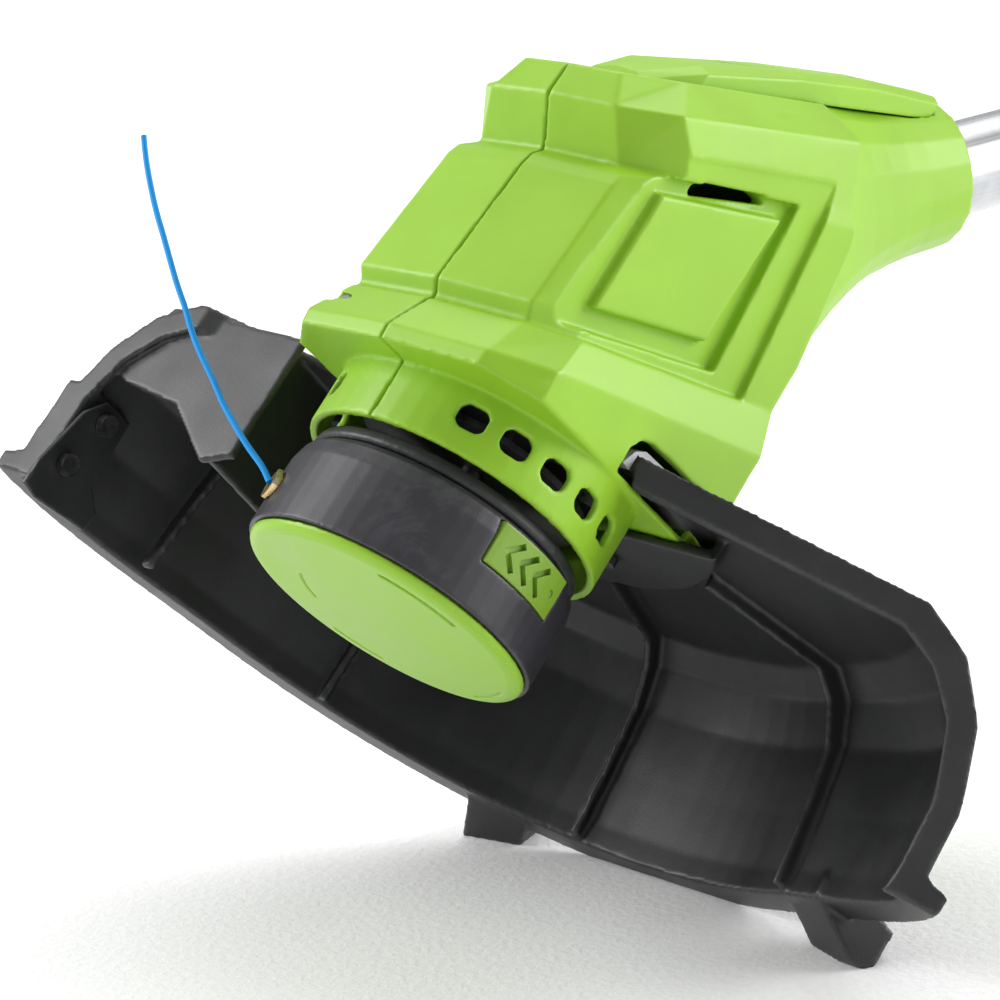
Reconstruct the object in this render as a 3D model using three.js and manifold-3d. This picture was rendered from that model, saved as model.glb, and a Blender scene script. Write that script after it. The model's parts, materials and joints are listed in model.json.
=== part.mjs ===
// Cordless string trimmer, built piece by piece in millimetres.
// It lies as it is put down: on the two feet of its guard and the heel of its battery,
// with the shaft running along +X from the cutting head at -X to the rear handle.
import * as THREE from "three";
import { mergeVertices } from "three/addons/utils/BufferGeometryUtils.js";
import Module from "manifold-3d";

const wasm = await Module();
wasm.setup();

// ---- Driving dimensions (mm) ----
const GAP = 0.3; // between pieces that touch
const RUNNING = 0.6; // between pieces that turn or slide on each other
const WALL = 2.6; // moulded casing wall
const SHELL_SPLIT = 0.3; // joint line between the casing halves

const SHAFT_TILT = THREE.MathUtils.degToRad(42.4); // shaft from the spool axis
const SHAFT_CROSSING = 113; // height on the spool axis where the shaft axis meets it

const CAP_RADIUS = 40.4;
const DRUM_RADIUS = 41.5;
const DRUM_TOP_RADIUS = 39.4;
const DRUM_HEIGHT = 28.9;
const DRUM_WALL = 2.2;
const DISC_RADIUS = 38.2;
const DISC_THICKNESS = 4.2;
const COLLAR_RADIUS = 42.4;
const COLLAR_WALL = 2.4;
const COLLAR_BOTTOM = 34.7;
const COLLAR_TOP = 56;
const VENT_WIDTH = 8.2;
const VENT_HEIGHT = 6.8;
const VENT_PITCH = 17.5; // degrees
const VENTS_PER_SIDE = 5;
const VENT_LEVEL = 44.6;

const MOTOR_RADIUS = 18.5;
const MOTOR_BOTTOM = 61;
const MOTOR_TOP = 111;
const SPINDLE_RADIUS = 3;
const FAN_RADIUS = 33;
const FAN_LEVEL = 47;
const FAN_BLADES = 9;

const SPOOL_HUB = 12;
const SPOOL_FLANGE = 33;
const SPOOL_FLOOR = 5;
const SPOOL_HEIGHT = 20;
const LINE_DIAMETER = 1.65;
const WINDING_RADIUS = 27;
const LINE_EXIT_ANGLE = -126; // degrees around the spool axis
const LINE_EXIT_LEVEL = 13;

const GUARD_CENTRE = [8, 6];
const GUARD_WALL = 2.5;
const GUARD_ROOF = 64;
const GUARD_FLARE = 20; // how far both ends open out
const GUARD_FOOT_REACH = 12;

const TUBE_RADIUS = 14;
const TUBE_WALL = 1.2;
const TUBE_START = 26; // along the shaft, from the crossing of the two axes
const TUBE_END = 610;
const OUTER_TUBE_RADIUS = 16.6;
const OUTER_TUBE_START = 468;
const OUTER_TUBE_END = 1000;
const SOCKET_END = 141;
const SOCKET_RADIUS = 20.5;

const CLAMP_START = 446;
const CLAMP_LENGTH = 52;
const CLAMP_RADIUS = 22.5;
const AUX_POSITION = 770;
const AUX_WIDTH = 34;
const AUX_RADIUS = 23;
const AUX_BAR_RADIUS = 11;

const GRIP_HALF_WIDTH = 18;
const HANDLE_START = 950;
const BATTERY_LENGTH = 118;
const BATTERY_WIDTH = 72;
const BATTERY_HEIGHT = 52;
const BATTERY_TOP = 92; // below the shaft axis
const BATTERY_START = 1152;

const SCREW_HEAD_RADIUS = 3.2;
const SCREW_HEAD_HEIGHT = 2.4;
const SCREW_RADIUS = 1.5;
const BOSS_RADIUS = 4.4;

// ---- Finishes ----
const finish = (color, roughness, metalness = 0) =>
  new THREE.MeshStandardMaterial({ color, roughness, metalness });
const lime = finish(0x9fce4c, 0.45);
const limeDark = finish(0x86b838, 0.5);
const black = finish(0x2b2b2d, 0.55);
const graphite = finish(0x3d3d42, 0.4);
const rubber = finish(0x202022, 0.85);
const steel = finish(0xb8bcc0, 0.3, 1);
const darkSteel = finish(0x55585c, 0.4, 1);
const aluminium = finish(0xd4d7da, 0.25, 1);
const brass = finish(0xc9a24a, 0.3, 1);
const blueLine = finish(0x0a86dc, 0.35);
const grey = finish(0xa5a7ab, 0.55);
const copper = finish(0xb4623a, 0.4, 1);

// ---- Making and joining solids ----
const degrees = THREE.MathUtils.degToRad;
const polar = (radius, angle) => [
  radius * Math.cos(degrees(angle)),
  radius * Math.sin(degrees(angle)),
];

function solid(geometry) {
  const bare = geometry.clone();
  bare.deleteAttribute("normal");
  bare.deleteAttribute("uv");
  const merged = mergeVertices(bare, 1e-4);
  const triVerts = new Uint32Array(merged.index.array);
  const vertProperties = merged.attributes.position.array;
  const made = new wasm.Manifold(new wasm.Mesh({ numProp: 3, vertProperties, triVerts }));
  if (made.volume() > 0) return made;
  return new wasm.Manifold(
    new wasm.Mesh({ numProp: 3, vertProperties, triVerts: triVerts.toReversed() }),
  );
}

function geometryOf(made) {
  const mesh = made.getMesh();
  const geometry = new THREE.BufferGeometry();
  const positions = new Float32Array(mesh.vertProperties);
  geometry.setAttribute("position", new THREE.BufferAttribute(positions, 3));
  geometry.setIndex(new THREE.BufferAttribute(new Uint32Array(mesh.triVerts), 1));
  geometry.computeVertexNormals();
  return geometry;
}

const join = (first, ...rest) => rest.reduce((all, next) => all.add(next), first);
const cut = (first, ...rest) => rest.reduce((all, next) => all.subtract(next), first);

function box(x0, x1, y0, y1, z0, z1) {
  const geometry = new THREE.BoxGeometry(x1 - x0, y1 - y0, z1 - z0);
  return solid(geometry.translate((x0 + x1) / 2, (y0 + y1) / 2, (z0 + z1) / 2));
}

const outlineOf = (points) => new THREE.Shape(points.map(([u, v]) => new THREE.Vector2(u, v)));

function extruded(shape, depth, bevel) {
  return new THREE.ExtrudeGeometry(shape, {
    depth: depth - 2 * bevel,
    bevelEnabled: bevel > 0,
    bevelThickness: bevel,
    bevelSize: bevel,
    bevelOffset: -bevel,
    bevelSegments: 1,
    curveSegments: 6,
  }).translate(0, 0, bevel);
}

// An outline in (x, y), raised from z0 to z1.
function raised(points, z0, z1, bevel = 0) {
  const shape = Array.isArray(points) ? outlineOf(points) : points;
  return solid(extruded(shape, z1 - z0, bevel).translate(0, 0, z0));
}

// An outline in (y, z), carried across from x0 to x1.
const acrossX = new THREE.Matrix4().makeBasis(
  new THREE.Vector3(0, 1, 0),
  new THREE.Vector3(0, 0, 1),
  new THREE.Vector3(1, 0, 0),
);
function across(points, x0, x1, bevel = 0) {
  const shape = Array.isArray(points) ? outlineOf(points) : points;
  const geometry = extruded(shape, x1 - x0, bevel).applyMatrix4(acrossX);
  return solid(geometry.translate(x0, 0, 0));
}

// An outline in (x, z), carried back from y0 to y1.
const acrossY = new THREE.Matrix4().makeBasis(
  new THREE.Vector3(1, 0, 0),
  new THREE.Vector3(0, 0, 1),
  new THREE.Vector3(0, -1, 0),
);
function backwards(points, y0, y1) {
  const geometry = extruded(outlineOf(points), y1 - y0, 0).applyMatrix4(acrossY);
  return solid(geometry.translate(0, y1, 0));
}

// A profile of [radius, z] turned about Z.
function turned(profile, segments = 48) {
  const points = profile.map(([radius, z]) => new THREE.Vector2(radius, z));
  return solid(new THREE.LatheGeometry(points, segments).rotateX(Math.PI / 2));
}

const disc = (radius, z0, z1, segments = 48) =>
  turned([[0, z0], [radius, z0], [radius, z1], [0, z1]], segments);

const ring = (inner, outer, z0, z1, segments = 48) =>
  turned([[inner, z0], [outer, z0], [outer, z1], [inner, z1], [inner, z0]], segments);

// A round bar from one point to another.
function bar(from, to, radius, segments = 16) {
  const start = new THREE.Vector3(...from);
  const end = new THREE.Vector3(...to);
  const way = end.clone().sub(start);
  const geometry = new THREE.CylinderGeometry(radius, radius, way.length(), segments);
  const turn = new THREE.Quaternion().setFromUnitVectors(
    new THREE.Vector3(0, 1, 0),
    way.clone().normalize(),
  );
  geometry.applyQuaternion(turn);
  const middle = start.add(end).multiplyScalar(0.5);
  return solid(geometry.translate(middle.x, middle.y, middle.z));
}

// A round section swept along a smooth curve through points.
function swept(points, radius, sides, steps) {
  const path = new THREE.CatmullRomCurve3(points.map((p) => new THREE.Vector3(...p)));
  const section = Array.from({ length: sides }, (_, i) => polar(radius, (360 * i) / sides));
  const shape = outlineOf(section);
  return solid(new THREE.ExtrudeGeometry(shape, { steps, extrudePath: path, bevelEnabled: false }));
}

// A solid skinned over rings that all hold the same number of [x, y, z] points.
// Each end is closed by a strip that pairs the first point with the last, and so inwards.
function lofted(rings) {
  const count = rings[0].length;
  const index = [];
  for (let r = 0; r + 1 < rings.length; r++) {
    for (let i = 0; i < count; i++) {
      const a = r * count + i;
      const b = r * count + ((i + 1) % count);
      index.push(a, b, b + count, a, b + count, a + count);
    }
  }
  const last = (rings.length - 1) * count;
  for (let i = 0, j = count - 1; i + 1 < j; i++, j--) {
    index.push(j, i + 1, i, last + i, last + i + 1, last + j);
    if (i + 1 < j - 1) index.push(j - 1, i + 1, j, last + j, last + i + 1, last + j - 1);
  }
  const geometry = new THREE.BufferGeometry();
  geometry.setAttribute("position", new THREE.Float32BufferAttribute(rings.flat(2), 3));
  geometry.setIndex(index);
  return solid(geometry);
}

// The same solid seen in a mirror that stands on the plane x = 0.
const mirrored = (made) => solid(geometryOf(made).scale(-1, 1, 1));

// A toothed or helical wire as rings of a round section along a list of points.
function helix(radius, wire, z0, z1, turns, stepsPerTurn = 10) {
  const count = turns * stepsPerTurn;
  const points = Array.from({ length: count + 1 }, (_, i) => [
    ...polar(radius, (360 * i) / stepsPerTurn),
    z0 + ((z1 - z0) * i) / count,
  ]);
  return swept(points, wire, 5, count);
}

// ---- The scene graph ----
const trimmer = new THREE.Group();
const head = new THREE.Group(); // +Z up the spool axis, -Y towards the front of the head
const shaft = new THREE.Group(); // +Z up the shaft, +Y below it, +X as in the head
trimmer.add(head);
head.add(shaft);
shaft.position.set(0, 0, SHAFT_CROSSING);
shaft.rotation.x = -SHAFT_TILT;

function place(group, name, made, material) {
  const mesh = new THREE.Mesh(geometryOf(made), material);
  mesh.name = name;
  group.add(mesh);
  return mesh;
}

// From shaft to head coordinates.
const toHead = new THREE.Matrix4().makeRotationX(-SHAFT_TILT).setPosition(0, 0, SHAFT_CROSSING);
const inHead = (made) => solid(geometryOf(made).applyMatrix4(toHead));
const pointInHead = ([x, y, z]) => new THREE.Vector3(x, y, z).applyMatrix4(toHead).toArray();

// ---- Motor housing: two mirrored shells that meet on the plane x = 0 ----
const SIDE = 38.5; // half width of the casing's flanks
const RISE = { base: 4.2, edge: 20.8, step: 22.7, body: 27, top: 31 }; // degrees, front to rear

const PAST_SEAM = -5; // forms run past the joint plane, which then cuts them all at once

// Half a ring of the casing: front seam, front corner, flank, rear corner, rear seam.
function halfRing({ y, z, front, side, facet, rear, rise }) {
  const setBack = front * 0.13;
  const lift = (at) => z + 0.8 + Math.tan(degrees(rise)) * (at - y - setBack);
  const facetEnd = y + setBack + facet;
  return [
    [PAST_SEAM, y, z],
    [front, y + setBack, z + 0.8],
    [side, facetEnd, lift(facetEnd)],
    [side, rear, lift(rear)],
    [side - 11, rear + 8, lift(rear + 8)],
    [PAST_SEAM, rear + 10, lift(rear + 8)],
  ];
}

const LOWER_BLOCK = [
  { y: -54.3, z: 50.7, front: 31, side: 43, facet: 14, rear: 46, rise: RISE.base },
  { y: -54.6, z: 55.3, front: 31.5, side: 43.2, facet: 13.5, rear: 46, rise: RISE.edge },
  { y: -47.4, z: 68.4, front: 29.5, side: SIDE, facet: 13, rear: 46, rise: RISE.step },
];
const BODY = [
  { y: -46.1, z: 62, front: 29.5, side: SIDE, facet: 17, rear: 46, rise: 24 },
  { y: -46.1, z: 70.5, front: 29.5, side: SIDE, facet: 17, rear: 46, rise: RISE.body },
  { y: -48.9, z: 73.7, front: 30, side: SIDE, facet: 18, rear: 46, rise: RISE.body },
  { y: -45.1, z: 113.7, front: 29, side: SIDE, facet: 17, rear: 40, rise: 28 },
  { y: -43.9, z: 117.6, front: 28.5, side: SIDE, facet: 15, rear: 38, rise: 29 },
  { y: -41, z: 121, front: 24, side: 37.5, facet: 13, rear: 34, rise: RISE.top },
  { y: -50.7, z: 132.4, front: 21.5, side: 34.5, facet: 10, rear: 26, rise: 33.5 },
  { y: -50, z: 142.6, front: 16.5, side: 21, facet: 18, rear: 20, rise: 33.5 },
];

// A ring across the shaft: a softened rectangle of half width w, up above and down below it.
const NECK_POINTS = 11;
function neckRing(along, [w, up, down, square]) {
  return Array.from({ length: NECK_POINTS }, (_, i) => {
    const angle = Math.PI * (i / (NECK_POINTS - 1) - 0.5);
    const [c, s] = [Math.cos(angle), Math.sin(angle)];
    const atSeam = i === 0 || i === NECK_POINTS - 1;
    const x = atSeam ? PAST_SEAM : w * Math.abs(c) ** (2 / square);
    const y = (s > 0 ? down : up) * Math.sign(s) * Math.abs(s) ** (2 / square);
    return pointInHead([x, y, along]);
  });
}
const NECK = [
  { along: 12, w: 33, up: 46, down: 48, square: 5 },
  { along: 40, w: 36, up: 43, down: 37, square: 4.5 },
  { along: 66, w: 31, up: 38, down: 26.5, square: 3.6 },
  { along: 90, w: 25.5, up: 32, down: 21.8, square: 2.8 },
  { along: 114, w: SOCKET_RADIUS + 1.6, up: 28, down: SOCKET_RADIUS, square: 2.3 },
  { along: SOCKET_END, w: SOCKET_RADIUS, up: SOCKET_RADIUS + 4, down: SOCKET_RADIUS, square: 2.1 },
];
const NECK_RINGS = 13;
const neckCurve = new THREE.CubicInterpolant(
  NECK.map((row) => row.along),
  NECK.flatMap(({ w, up, down, square }) => [w, up, down, square]),
  4,
);
const neckRings = Array.from({ length: NECK_RINGS }, (_, i) => {
  const along = THREE.MathUtils.lerp(NECK[0].along, SOCKET_END, i / (NECK_RINGS - 1));
  return neckRing(along, [...neckCurve.evaluate(along)]);
});

// Everything above x = 0 of a form turned about the spool axis.
const rightSide = box(SHELL_SPLIT / 2, 200, -200, 300, -50, 400);

const inset = (blocks, wall) =>
  blocks.map((b) => ({
    ...b,
    y: b.y + wall,
    front: b.front - wall * 0.6,
    side: b.side - wall,
    rear: b.rear - wall,
  }));

// Flank recess around the raised pad, as outlines in (y, z), from the outer step inwards.
const OUTER_RECESS = [
  [-80, 101.3],
  [-39, 127.5],
  [24, 166.6],
  [33, 100.4],
  [-80, 52.6],
];
const INNER_RECESS = [
  [-80, 94],
  [-33, 124.2],
  [16, 153],
  [20.6, 101],
  [-80, 55],
];
const PAD = [
  [-30.6, 84.2],
  [12, 104.6],
  [13.2, 146],
  [-30.6, 120.4],
];
const SIDE_VENT = [
  [-20, 127.8],
  [-20, 132.6],
  [2, 145.6],
  [8, 146.6],
  [13, 149.5],
];
const OUTER_STEP = 2.6;
const INNER_STEP = 6;
const PAD_PROUD = 3.4;
const ARM_SLOT = [
  [0.5, 56.9],
  [0, 64],
  [2.7, 68],
  [6.6, 69.6],
  [34, 72.4],
  [37, 69],
  [37, 59.6],
];

const SCREW_SPOTS = [
  [-44, 62],
  [-37, 108],
  [46, 66.5],
  [49, 127],
];
const BOSS_REACH = 36;
const GUARD_SCREW = [12, 49]; // x and y of the right one of the two screws that hold the guard

function casingHalf() {
  const lower = lofted(LOWER_BLOCK.map((b) => halfRing(b)));
  const body = lofted(BODY.map((b) => halfRing(b)));
  const neck = lofted(neckRings);
  const collar = disc(COLLAR_RADIUS, COLLAR_BOTTOM, COLLAR_TOP);
  let flank = cut(
    join(body, neck),
    across(OUTER_RECESS, SIDE - OUTER_STEP, SIDE + 20),
    across(INNER_RECESS, SIDE - INNER_STEP, SIDE + 20),
  );
  flank = flank.add(across(PAD, SIDE - 8, SIDE - INNER_STEP + PAD_PROUD, 0.8));
  const outside = join(flank, lower, collar).intersect(rightSide);

  const innerBody = inset(BODY, INNER_STEP + WALL).slice(0, 7);
  innerBody[6] = { ...innerBody[6], y: -42, z: 128, front: 17, side: 25, rear: 12 };
  const cavity = join(
    disc(COLLAR_RADIUS - COLLAR_WALL, 0, COLLAR_TOP + 1),
    lofted(inset(LOWER_BLOCK, WALL).map((b, i) => halfRing({ ...b, z: b.z + (i ? 0 : WALL) }))),
    lofted(innerBody.map((b) => halfRing(b))),
  );
  const bosses = SCREW_SPOTS.map(([y, z]) =>
    bar([PAST_SEAM, y, z], [BOSS_REACH, y, z], BOSS_RADIUS, 14),
  );
  bosses.push(bar([GUARD_SCREW[0], GUARD_SCREW[1], 54], [...GUARD_SCREW, 74], BOSS_RADIUS, 14));
  const shell = cut(outside, cavity);
  return join(shell, ...bosses.map((boss) => boss.intersect(outside)));
}

const tubeBore = inHead(disc(TUBE_RADIUS + GAP, TUBE_START - 2, SOCKET_END + 5, 32));
const motorRoom = disc(MOTOR_RADIUS + GAP, MOTOR_BOTTOM - 1, MOTOR_TOP + 8, 32);
const plateRoom = disc(36.5, MOTOR_BOTTOM - 4.6, MOTOR_BOTTOM - 1, 40);
const fanRoom = disc(FAN_RADIUS + 2, COLLAR_BOTTOM, MOTOR_BOTTOM - 4, 40);
const sideVent = join(across(SIDE_VENT, SIDE - 14, SIDE + 10), across(SIDE_VENT, -SIDE - 10, -SIDE + 14));
const armSlots = join(across(ARM_SLOT, 34, 60), across(ARM_SLOT, -60, -34));

function collarVents() {
  const corner = 1.6;
  const [w, h] = [VENT_WIDTH / 2, VENT_HEIGHT / 2];
  const square = [
    [-w, corner - h],
    [corner - w, -h],
    [w - corner, -h],
    [w, corner - h],
    [w, h - corner],
    [w - corner, h],
    [corner - w, h],
    [-w, h - corner],
  ];
  const vents = [];
  for (let i = 0; i < VENTS_PER_SIDE; i++) {
    for (const angle of [-55.5 + i * VENT_PITCH, -124.5 - i * VENT_PITCH]) {
      const turn = new THREE.Matrix4().makeRotationZ(degrees(angle));
      const [x, y] = polar(COLLAR_RADIUS, angle);
      turn.setPosition(x, y, VENT_LEVEL);
      vents.push(solid(geometryOf(across(square, -6, 6)).applyMatrix4(turn)));
    }
  }
  return join(...vents);
}

// The long crowned lid on the seam, which closes the wiring room.
const LID = [
  { y: -34, w: 10, crown: 0.5 },
  { y: -20, w: 17, crown: 5 },
  { y: 10, w: 17.5, crown: 7.5 },
  { y: 44, w: 14.5, crown: 8 },
  { y: 74, w: 10.5, crown: 6 },
];
const LID_DEPTH = 3;
function lidForm(room) {
  const rings = LID.map(({ y, w, crown }, i) => {
    const half = w + room;
    const at = y + room * Math.sign(i - 2);
    const seat = 151.5 + (y + 38) * 0.68;
    return [
      [-half, at, seat - LID_DEPTH - room],
      [-half, at, seat + crown - 3.4],
      [-w * 0.72, at, seat + crown - 1],
      [0, at, seat + crown + room],
      [w * 0.72, at, seat + crown - 1],
      [half, at, seat + crown - 3.4],
      [half, at, seat - LID_DEPTH - room],
    ];
  });
  return lofted(rings);
}
const openings = join(lidForm(GAP), tubeBore, motorRoom, plateRoom, fanRoom, sideVent, armSlots, collarVents());

const screwHoles = join(
  ...SCREW_SPOTS.flatMap(([y, z]) => [
    bar([-60, y, z], [-BOSS_REACH + 12, y, z], SCREW_HEAD_RADIUS + GAP, 14),
    bar([-60, y, z], [BOSS_REACH - 16, y, z], SCREW_RADIUS + GAP, 10),
  ]),
);

const guardScrewHoles = join(
  ...[1, -1].map((side) =>
    bar([side * GUARD_SCREW[0], GUARD_SCREW[1], 40], [side * GUARD_SCREW[0], GUARD_SCREW[1], 70.5],
      SCREW_RADIUS + GAP, 10),
  ),
);

const rightCasing = casingHalf();
const leftCasing = mirrored(rightCasing);
place(head, "housing_right", cut(rightCasing, openings, screwHoles, guardScrewHoles), lime);
place(head, "housing_left", cut(leftCasing, openings, screwHoles, guardScrewHoles), lime);
SCREW_SPOTS.forEach(([y, z], i) => {
  const seat = -BOSS_REACH + 12;
  const screw = join(
    bar([seat - SCREW_HEAD_HEIGHT - GAP, y, z], [seat - GAP, y, z], SCREW_HEAD_RADIUS, 12),
    bar([seat - 1, y, z], [BOSS_REACH - 17, y, z], SCREW_RADIUS, 8),
  );
  place(head, `housing_screw_${i + 1}`, screw, darkSteel);
});

place(head, "top_cover", lidForm(0), lime);

// ---- Motor, fan and spindle ----
const motor = join(
  disc(MOTOR_RADIUS, MOTOR_BOTTOM, MOTOR_TOP, 32),
  ring(SPINDLE_RADIUS + RUNNING, 7, MOTOR_BOTTOM - 3, MOTOR_BOTTOM + 1, 24),
);
const spindleBore = disc(SPINDLE_RADIUS + RUNNING, 0, MOTOR_TOP - 4, 20);
place(head, "motor", cut(motor, spindleBore), steel);
const endBell = cut(
  join(disc(MOTOR_RADIUS - 1.5, MOTOR_TOP + GAP, MOTOR_TOP + 5, 28), box(-9, -6, -2, 2, MOTOR_TOP + 2, MOTOR_TOP + 8)),
  box(6, 9, -2, 2, MOTOR_TOP + 3, MOTOR_TOP + 9),
);
place(head, "motor_end_bell", endBell, copper);
const plate = cut(
  disc(36, MOTOR_BOTTOM - 4, MOTOR_BOTTOM - 1.3, 40),
  disc(7.4, 0, 100, 20),
  ...[45, 135, 225, 315].map((angle) => {
    const [x, y] = polar(25, angle);
    return bar([x, y, 40], [x, y, 80], 3.2, 10);
  }),
);
place(head, "motor_plate", plate, grey);

const spindle = join(
  disc(SPINDLE_RADIUS, 10, MOTOR_TOP - 5, 20),
  disc(SPINDLE_RADIUS + 2.4, 36, 38.5, 20),
);
place(head, "spindle", spindle, darkSteel);
const fan = join(
  ring(SPINDLE_RADIUS + GAP, 8, FAN_LEVEL - 1, FAN_LEVEL + 7, 20),
  ring(7, FAN_RADIUS, FAN_LEVEL - 1, FAN_LEVEL + 0.8, 36),
  ...Array.from({ length: FAN_BLADES }, (_, i) => {
    const blade = box(7.5, FAN_RADIUS - 1, -0.8, 0.8, FAN_LEVEL, FAN_LEVEL + 7);
    return solid(geometryOf(blade).rotateZ((2 * Math.PI * i) / FAN_BLADES));
  }),
);
place(head, "cooling_fan", fan, graphite);
const driveDisc = turned([
  [SPINDLE_RADIUS + GAP, DRUM_HEIGHT + GAP],
  [DISC_RADIUS, DRUM_HEIGHT + GAP],
  [DISC_RADIUS + 0.8, DRUM_HEIGHT + 1.4],
  [DISC_RADIUS, DRUM_HEIGHT + DISC_THICKNESS],
  [12, DRUM_HEIGHT + DISC_THICKNESS],
  [9, COLLAR_BOTTOM],
  [SPINDLE_RADIUS + GAP, COLLAR_BOTTOM],
  [SPINDLE_RADIUS + GAP, DRUM_HEIGHT + GAP],
]);
place(head, "drive_disc", driveDisc, black);

// ---- Cutting head: drum, cap, spool and line ----
const LATCH_WIDTH = 27;
const LATCH_LOW = 15.5;
const LATCH_HIGH = 27.2;
const LATCH_ANGLE = -7.5; // degrees round the drum, the second one opposite
const LATCH_INNER = 36.4;
const WINDOW_INNER = 29; // a pressed button moves in to here
const EYELET_RADIUS = 3.4;
const drumForm = turned([
  [SPINDLE_RADIUS + GAP, DRUM_HEIGHT - 2.4],
  [DRUM_TOP_RADIUS - DRUM_WALL - 1, DRUM_HEIGHT - 2.4],
  [DRUM_RADIUS - DRUM_WALL, DRUM_HEIGHT - 6],
  [DRUM_RADIUS - DRUM_WALL, 2.9],
  [DRUM_RADIUS, 2.9],
  [DRUM_RADIUS - 0.3, DRUM_HEIGHT - 6],
  [DRUM_TOP_RADIUS + 0.8, DRUM_HEIGHT - 1.8],
  [DRUM_TOP_RADIUS - 0.8, DRUM_HEIGHT],
  [SPINDLE_RADIUS + GAP, DRUM_HEIGHT],
  [SPINDLE_RADIUS + GAP, DRUM_HEIGHT - 2.4],
], 60);
const [exitX, exitY] = polar(1, LINE_EXIT_ANGLE);
const outTo = (radius) => [exitX * radius, exitY * radius, LINE_EXIT_LEVEL];
const latchTurns = [LATCH_ANGLE, LATCH_ANGLE + 180];
function latchBlock(room) {
  const half = LATCH_WIDTH / 2 + room;
  return box(WINDOW_INNER, DRUM_RADIUS + 4, -half, half, LATCH_LOW - room, LATCH_HIGH + room);
}
const turnedBlock = (made, angle) => solid(geometryOf(made).rotateZ(degrees(angle)));
const drum = cut(
  drumForm,
  ...latchTurns.map((angle) => turnedBlock(latchBlock(GAP), angle)),
  bar(outTo(DRUM_RADIUS - 8), outTo(DRUM_RADIUS + 8), EYELET_RADIUS + GAP, 14),
);
place(head, "spool_drum", drum, graphite);
const eyelet = cut(
  join(
    bar(outTo(DRUM_RADIUS - 4), outTo(DRUM_RADIUS + 0.8), EYELET_RADIUS, 14),
    bar(outTo(DRUM_RADIUS + 0.4), outTo(DRUM_RADIUS + 1.4), EYELET_RADIUS + 0.9, 14),
  ),
  bar(outTo(DRUM_RADIUS - 8), outTo(DRUM_RADIUS + 8), LINE_DIAMETER / 2 + 0.5, 10),
);
const eyeletSeat = bar(outTo(DRUM_RADIUS + 0.1), outTo(DRUM_RADIUS + 3), EYELET_RADIUS + 2, 14);
place(head, "line_eyelet", eyelet.intersect(join(eyeletSeat, bar(outTo(30), outTo(50), EYELET_RADIUS, 14))), brass);

const latchShell = ring(LATCH_INNER, DRUM_RADIUS - 0.1, LATCH_LOW, LATCH_HIGH, 60);
latchTurns.forEach((angle, i) => {
  const block = turnedBlock(latchBlock(0), angle);
  place(head, `latch_button_${i + 1}`, latchShell.intersect(block), limeDark);
});

const capForm = turned([
  [0, 0],
  [CAP_RADIUS - 0.8, 0],
  [CAP_RADIUS, 0.8],
  [CAP_RADIUS, 2.6],
  [DRUM_RADIUS - DRUM_WALL - GAP, 2.6],
  [DRUM_RADIUS - DRUM_WALL - GAP, 9],
  [DRUM_RADIUS - DRUM_WALL - GAP - 1.6, 9],
  [DRUM_RADIUS - DRUM_WALL - GAP - 1.6, 2.6],
  [SPOOL_HUB - 4.5, 2.6],
  [SPOOL_HUB - 4.5, SPOOL_FLOOR + 3],
  [0, SPOOL_FLOOR + 3],
], 60);
const capExit = bar(outTo(30), outTo(DRUM_RADIUS + 4), EYELET_RADIUS + 1.4, 12);
place(head, "spool_cap", cut(capForm, capExit), lime);

const spool = turned([
  [SPOOL_HUB - 4, SPOOL_FLOOR],
  [SPOOL_FLANGE, SPOOL_FLOOR],
  [SPOOL_FLANGE, SPOOL_FLOOR + 1.6],
  [SPOOL_HUB, SPOOL_FLOOR + 1.6],
  [SPOOL_HUB, SPOOL_FLOOR + SPOOL_HEIGHT - 1.6],
  [SPOOL_FLANGE, SPOOL_FLOOR + SPOOL_HEIGHT - 1.6],
  [SPOOL_FLANGE, SPOOL_FLOOR + SPOOL_HEIGHT],
  [SPINDLE_RADIUS + RUNNING, SPOOL_FLOOR + SPOOL_HEIGHT],
  [SPINDLE_RADIUS + RUNNING, SPOOL_FLOOR + SPOOL_HEIGHT - 2],
  [SPOOL_HUB - 4, SPOOL_FLOOR + SPOOL_HEIGHT - 2],
  [SPOOL_HUB - 4, SPOOL_FLOOR],
], 40);
place(head, "line_spool", spool, black);
const winding = ring(
  SPOOL_HUB + GAP,
  WINDING_RADIUS,
  SPOOL_FLOOR + 1.6 + GAP,
  SPOOL_FLOOR + SPOOL_HEIGHT - 1.6 - GAP,
  36,
);
place(head, "line_winding", winding, blueLine);
const springTop = SPOOL_FLOOR + SPOOL_HEIGHT - 2 - GAP - 0.7;
place(head, "spool_spring", helix(6, 0.6, SPOOL_FLOOR + 3 + GAP + 0.7, springTop, 4), steel);

const LINE_ROUTE = [
  [-25.4, -35, 13],
  [-28.7, -36.4, 15.6],
  [-35, -38.8, 19.1],
  [-41, -41.2, 22.9],
  [-46.9, -43.6, 27],
  [-52.4, -46, 31.6],
  [-58.1, -48.4, 36],
  [-63.6, -50.8, 40.8],
  [-68.5, -53.2, 46],
  [-73.8, -55.6, 51.1],
  [-78.8, -58, 56.4],
  [-83.8, -60.4, 61.8],
  [-88.9, -62.8, 67.2],
  [-93.7, -65.2, 72.9],
  [-98.1, -67.6, 78.7],
  [-102.1, -70, 84.8],
];
place(head, "cutting_line", swept(LINE_ROUTE, LINE_DIAMETER / 2, 8, 36), blueLine);

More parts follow.
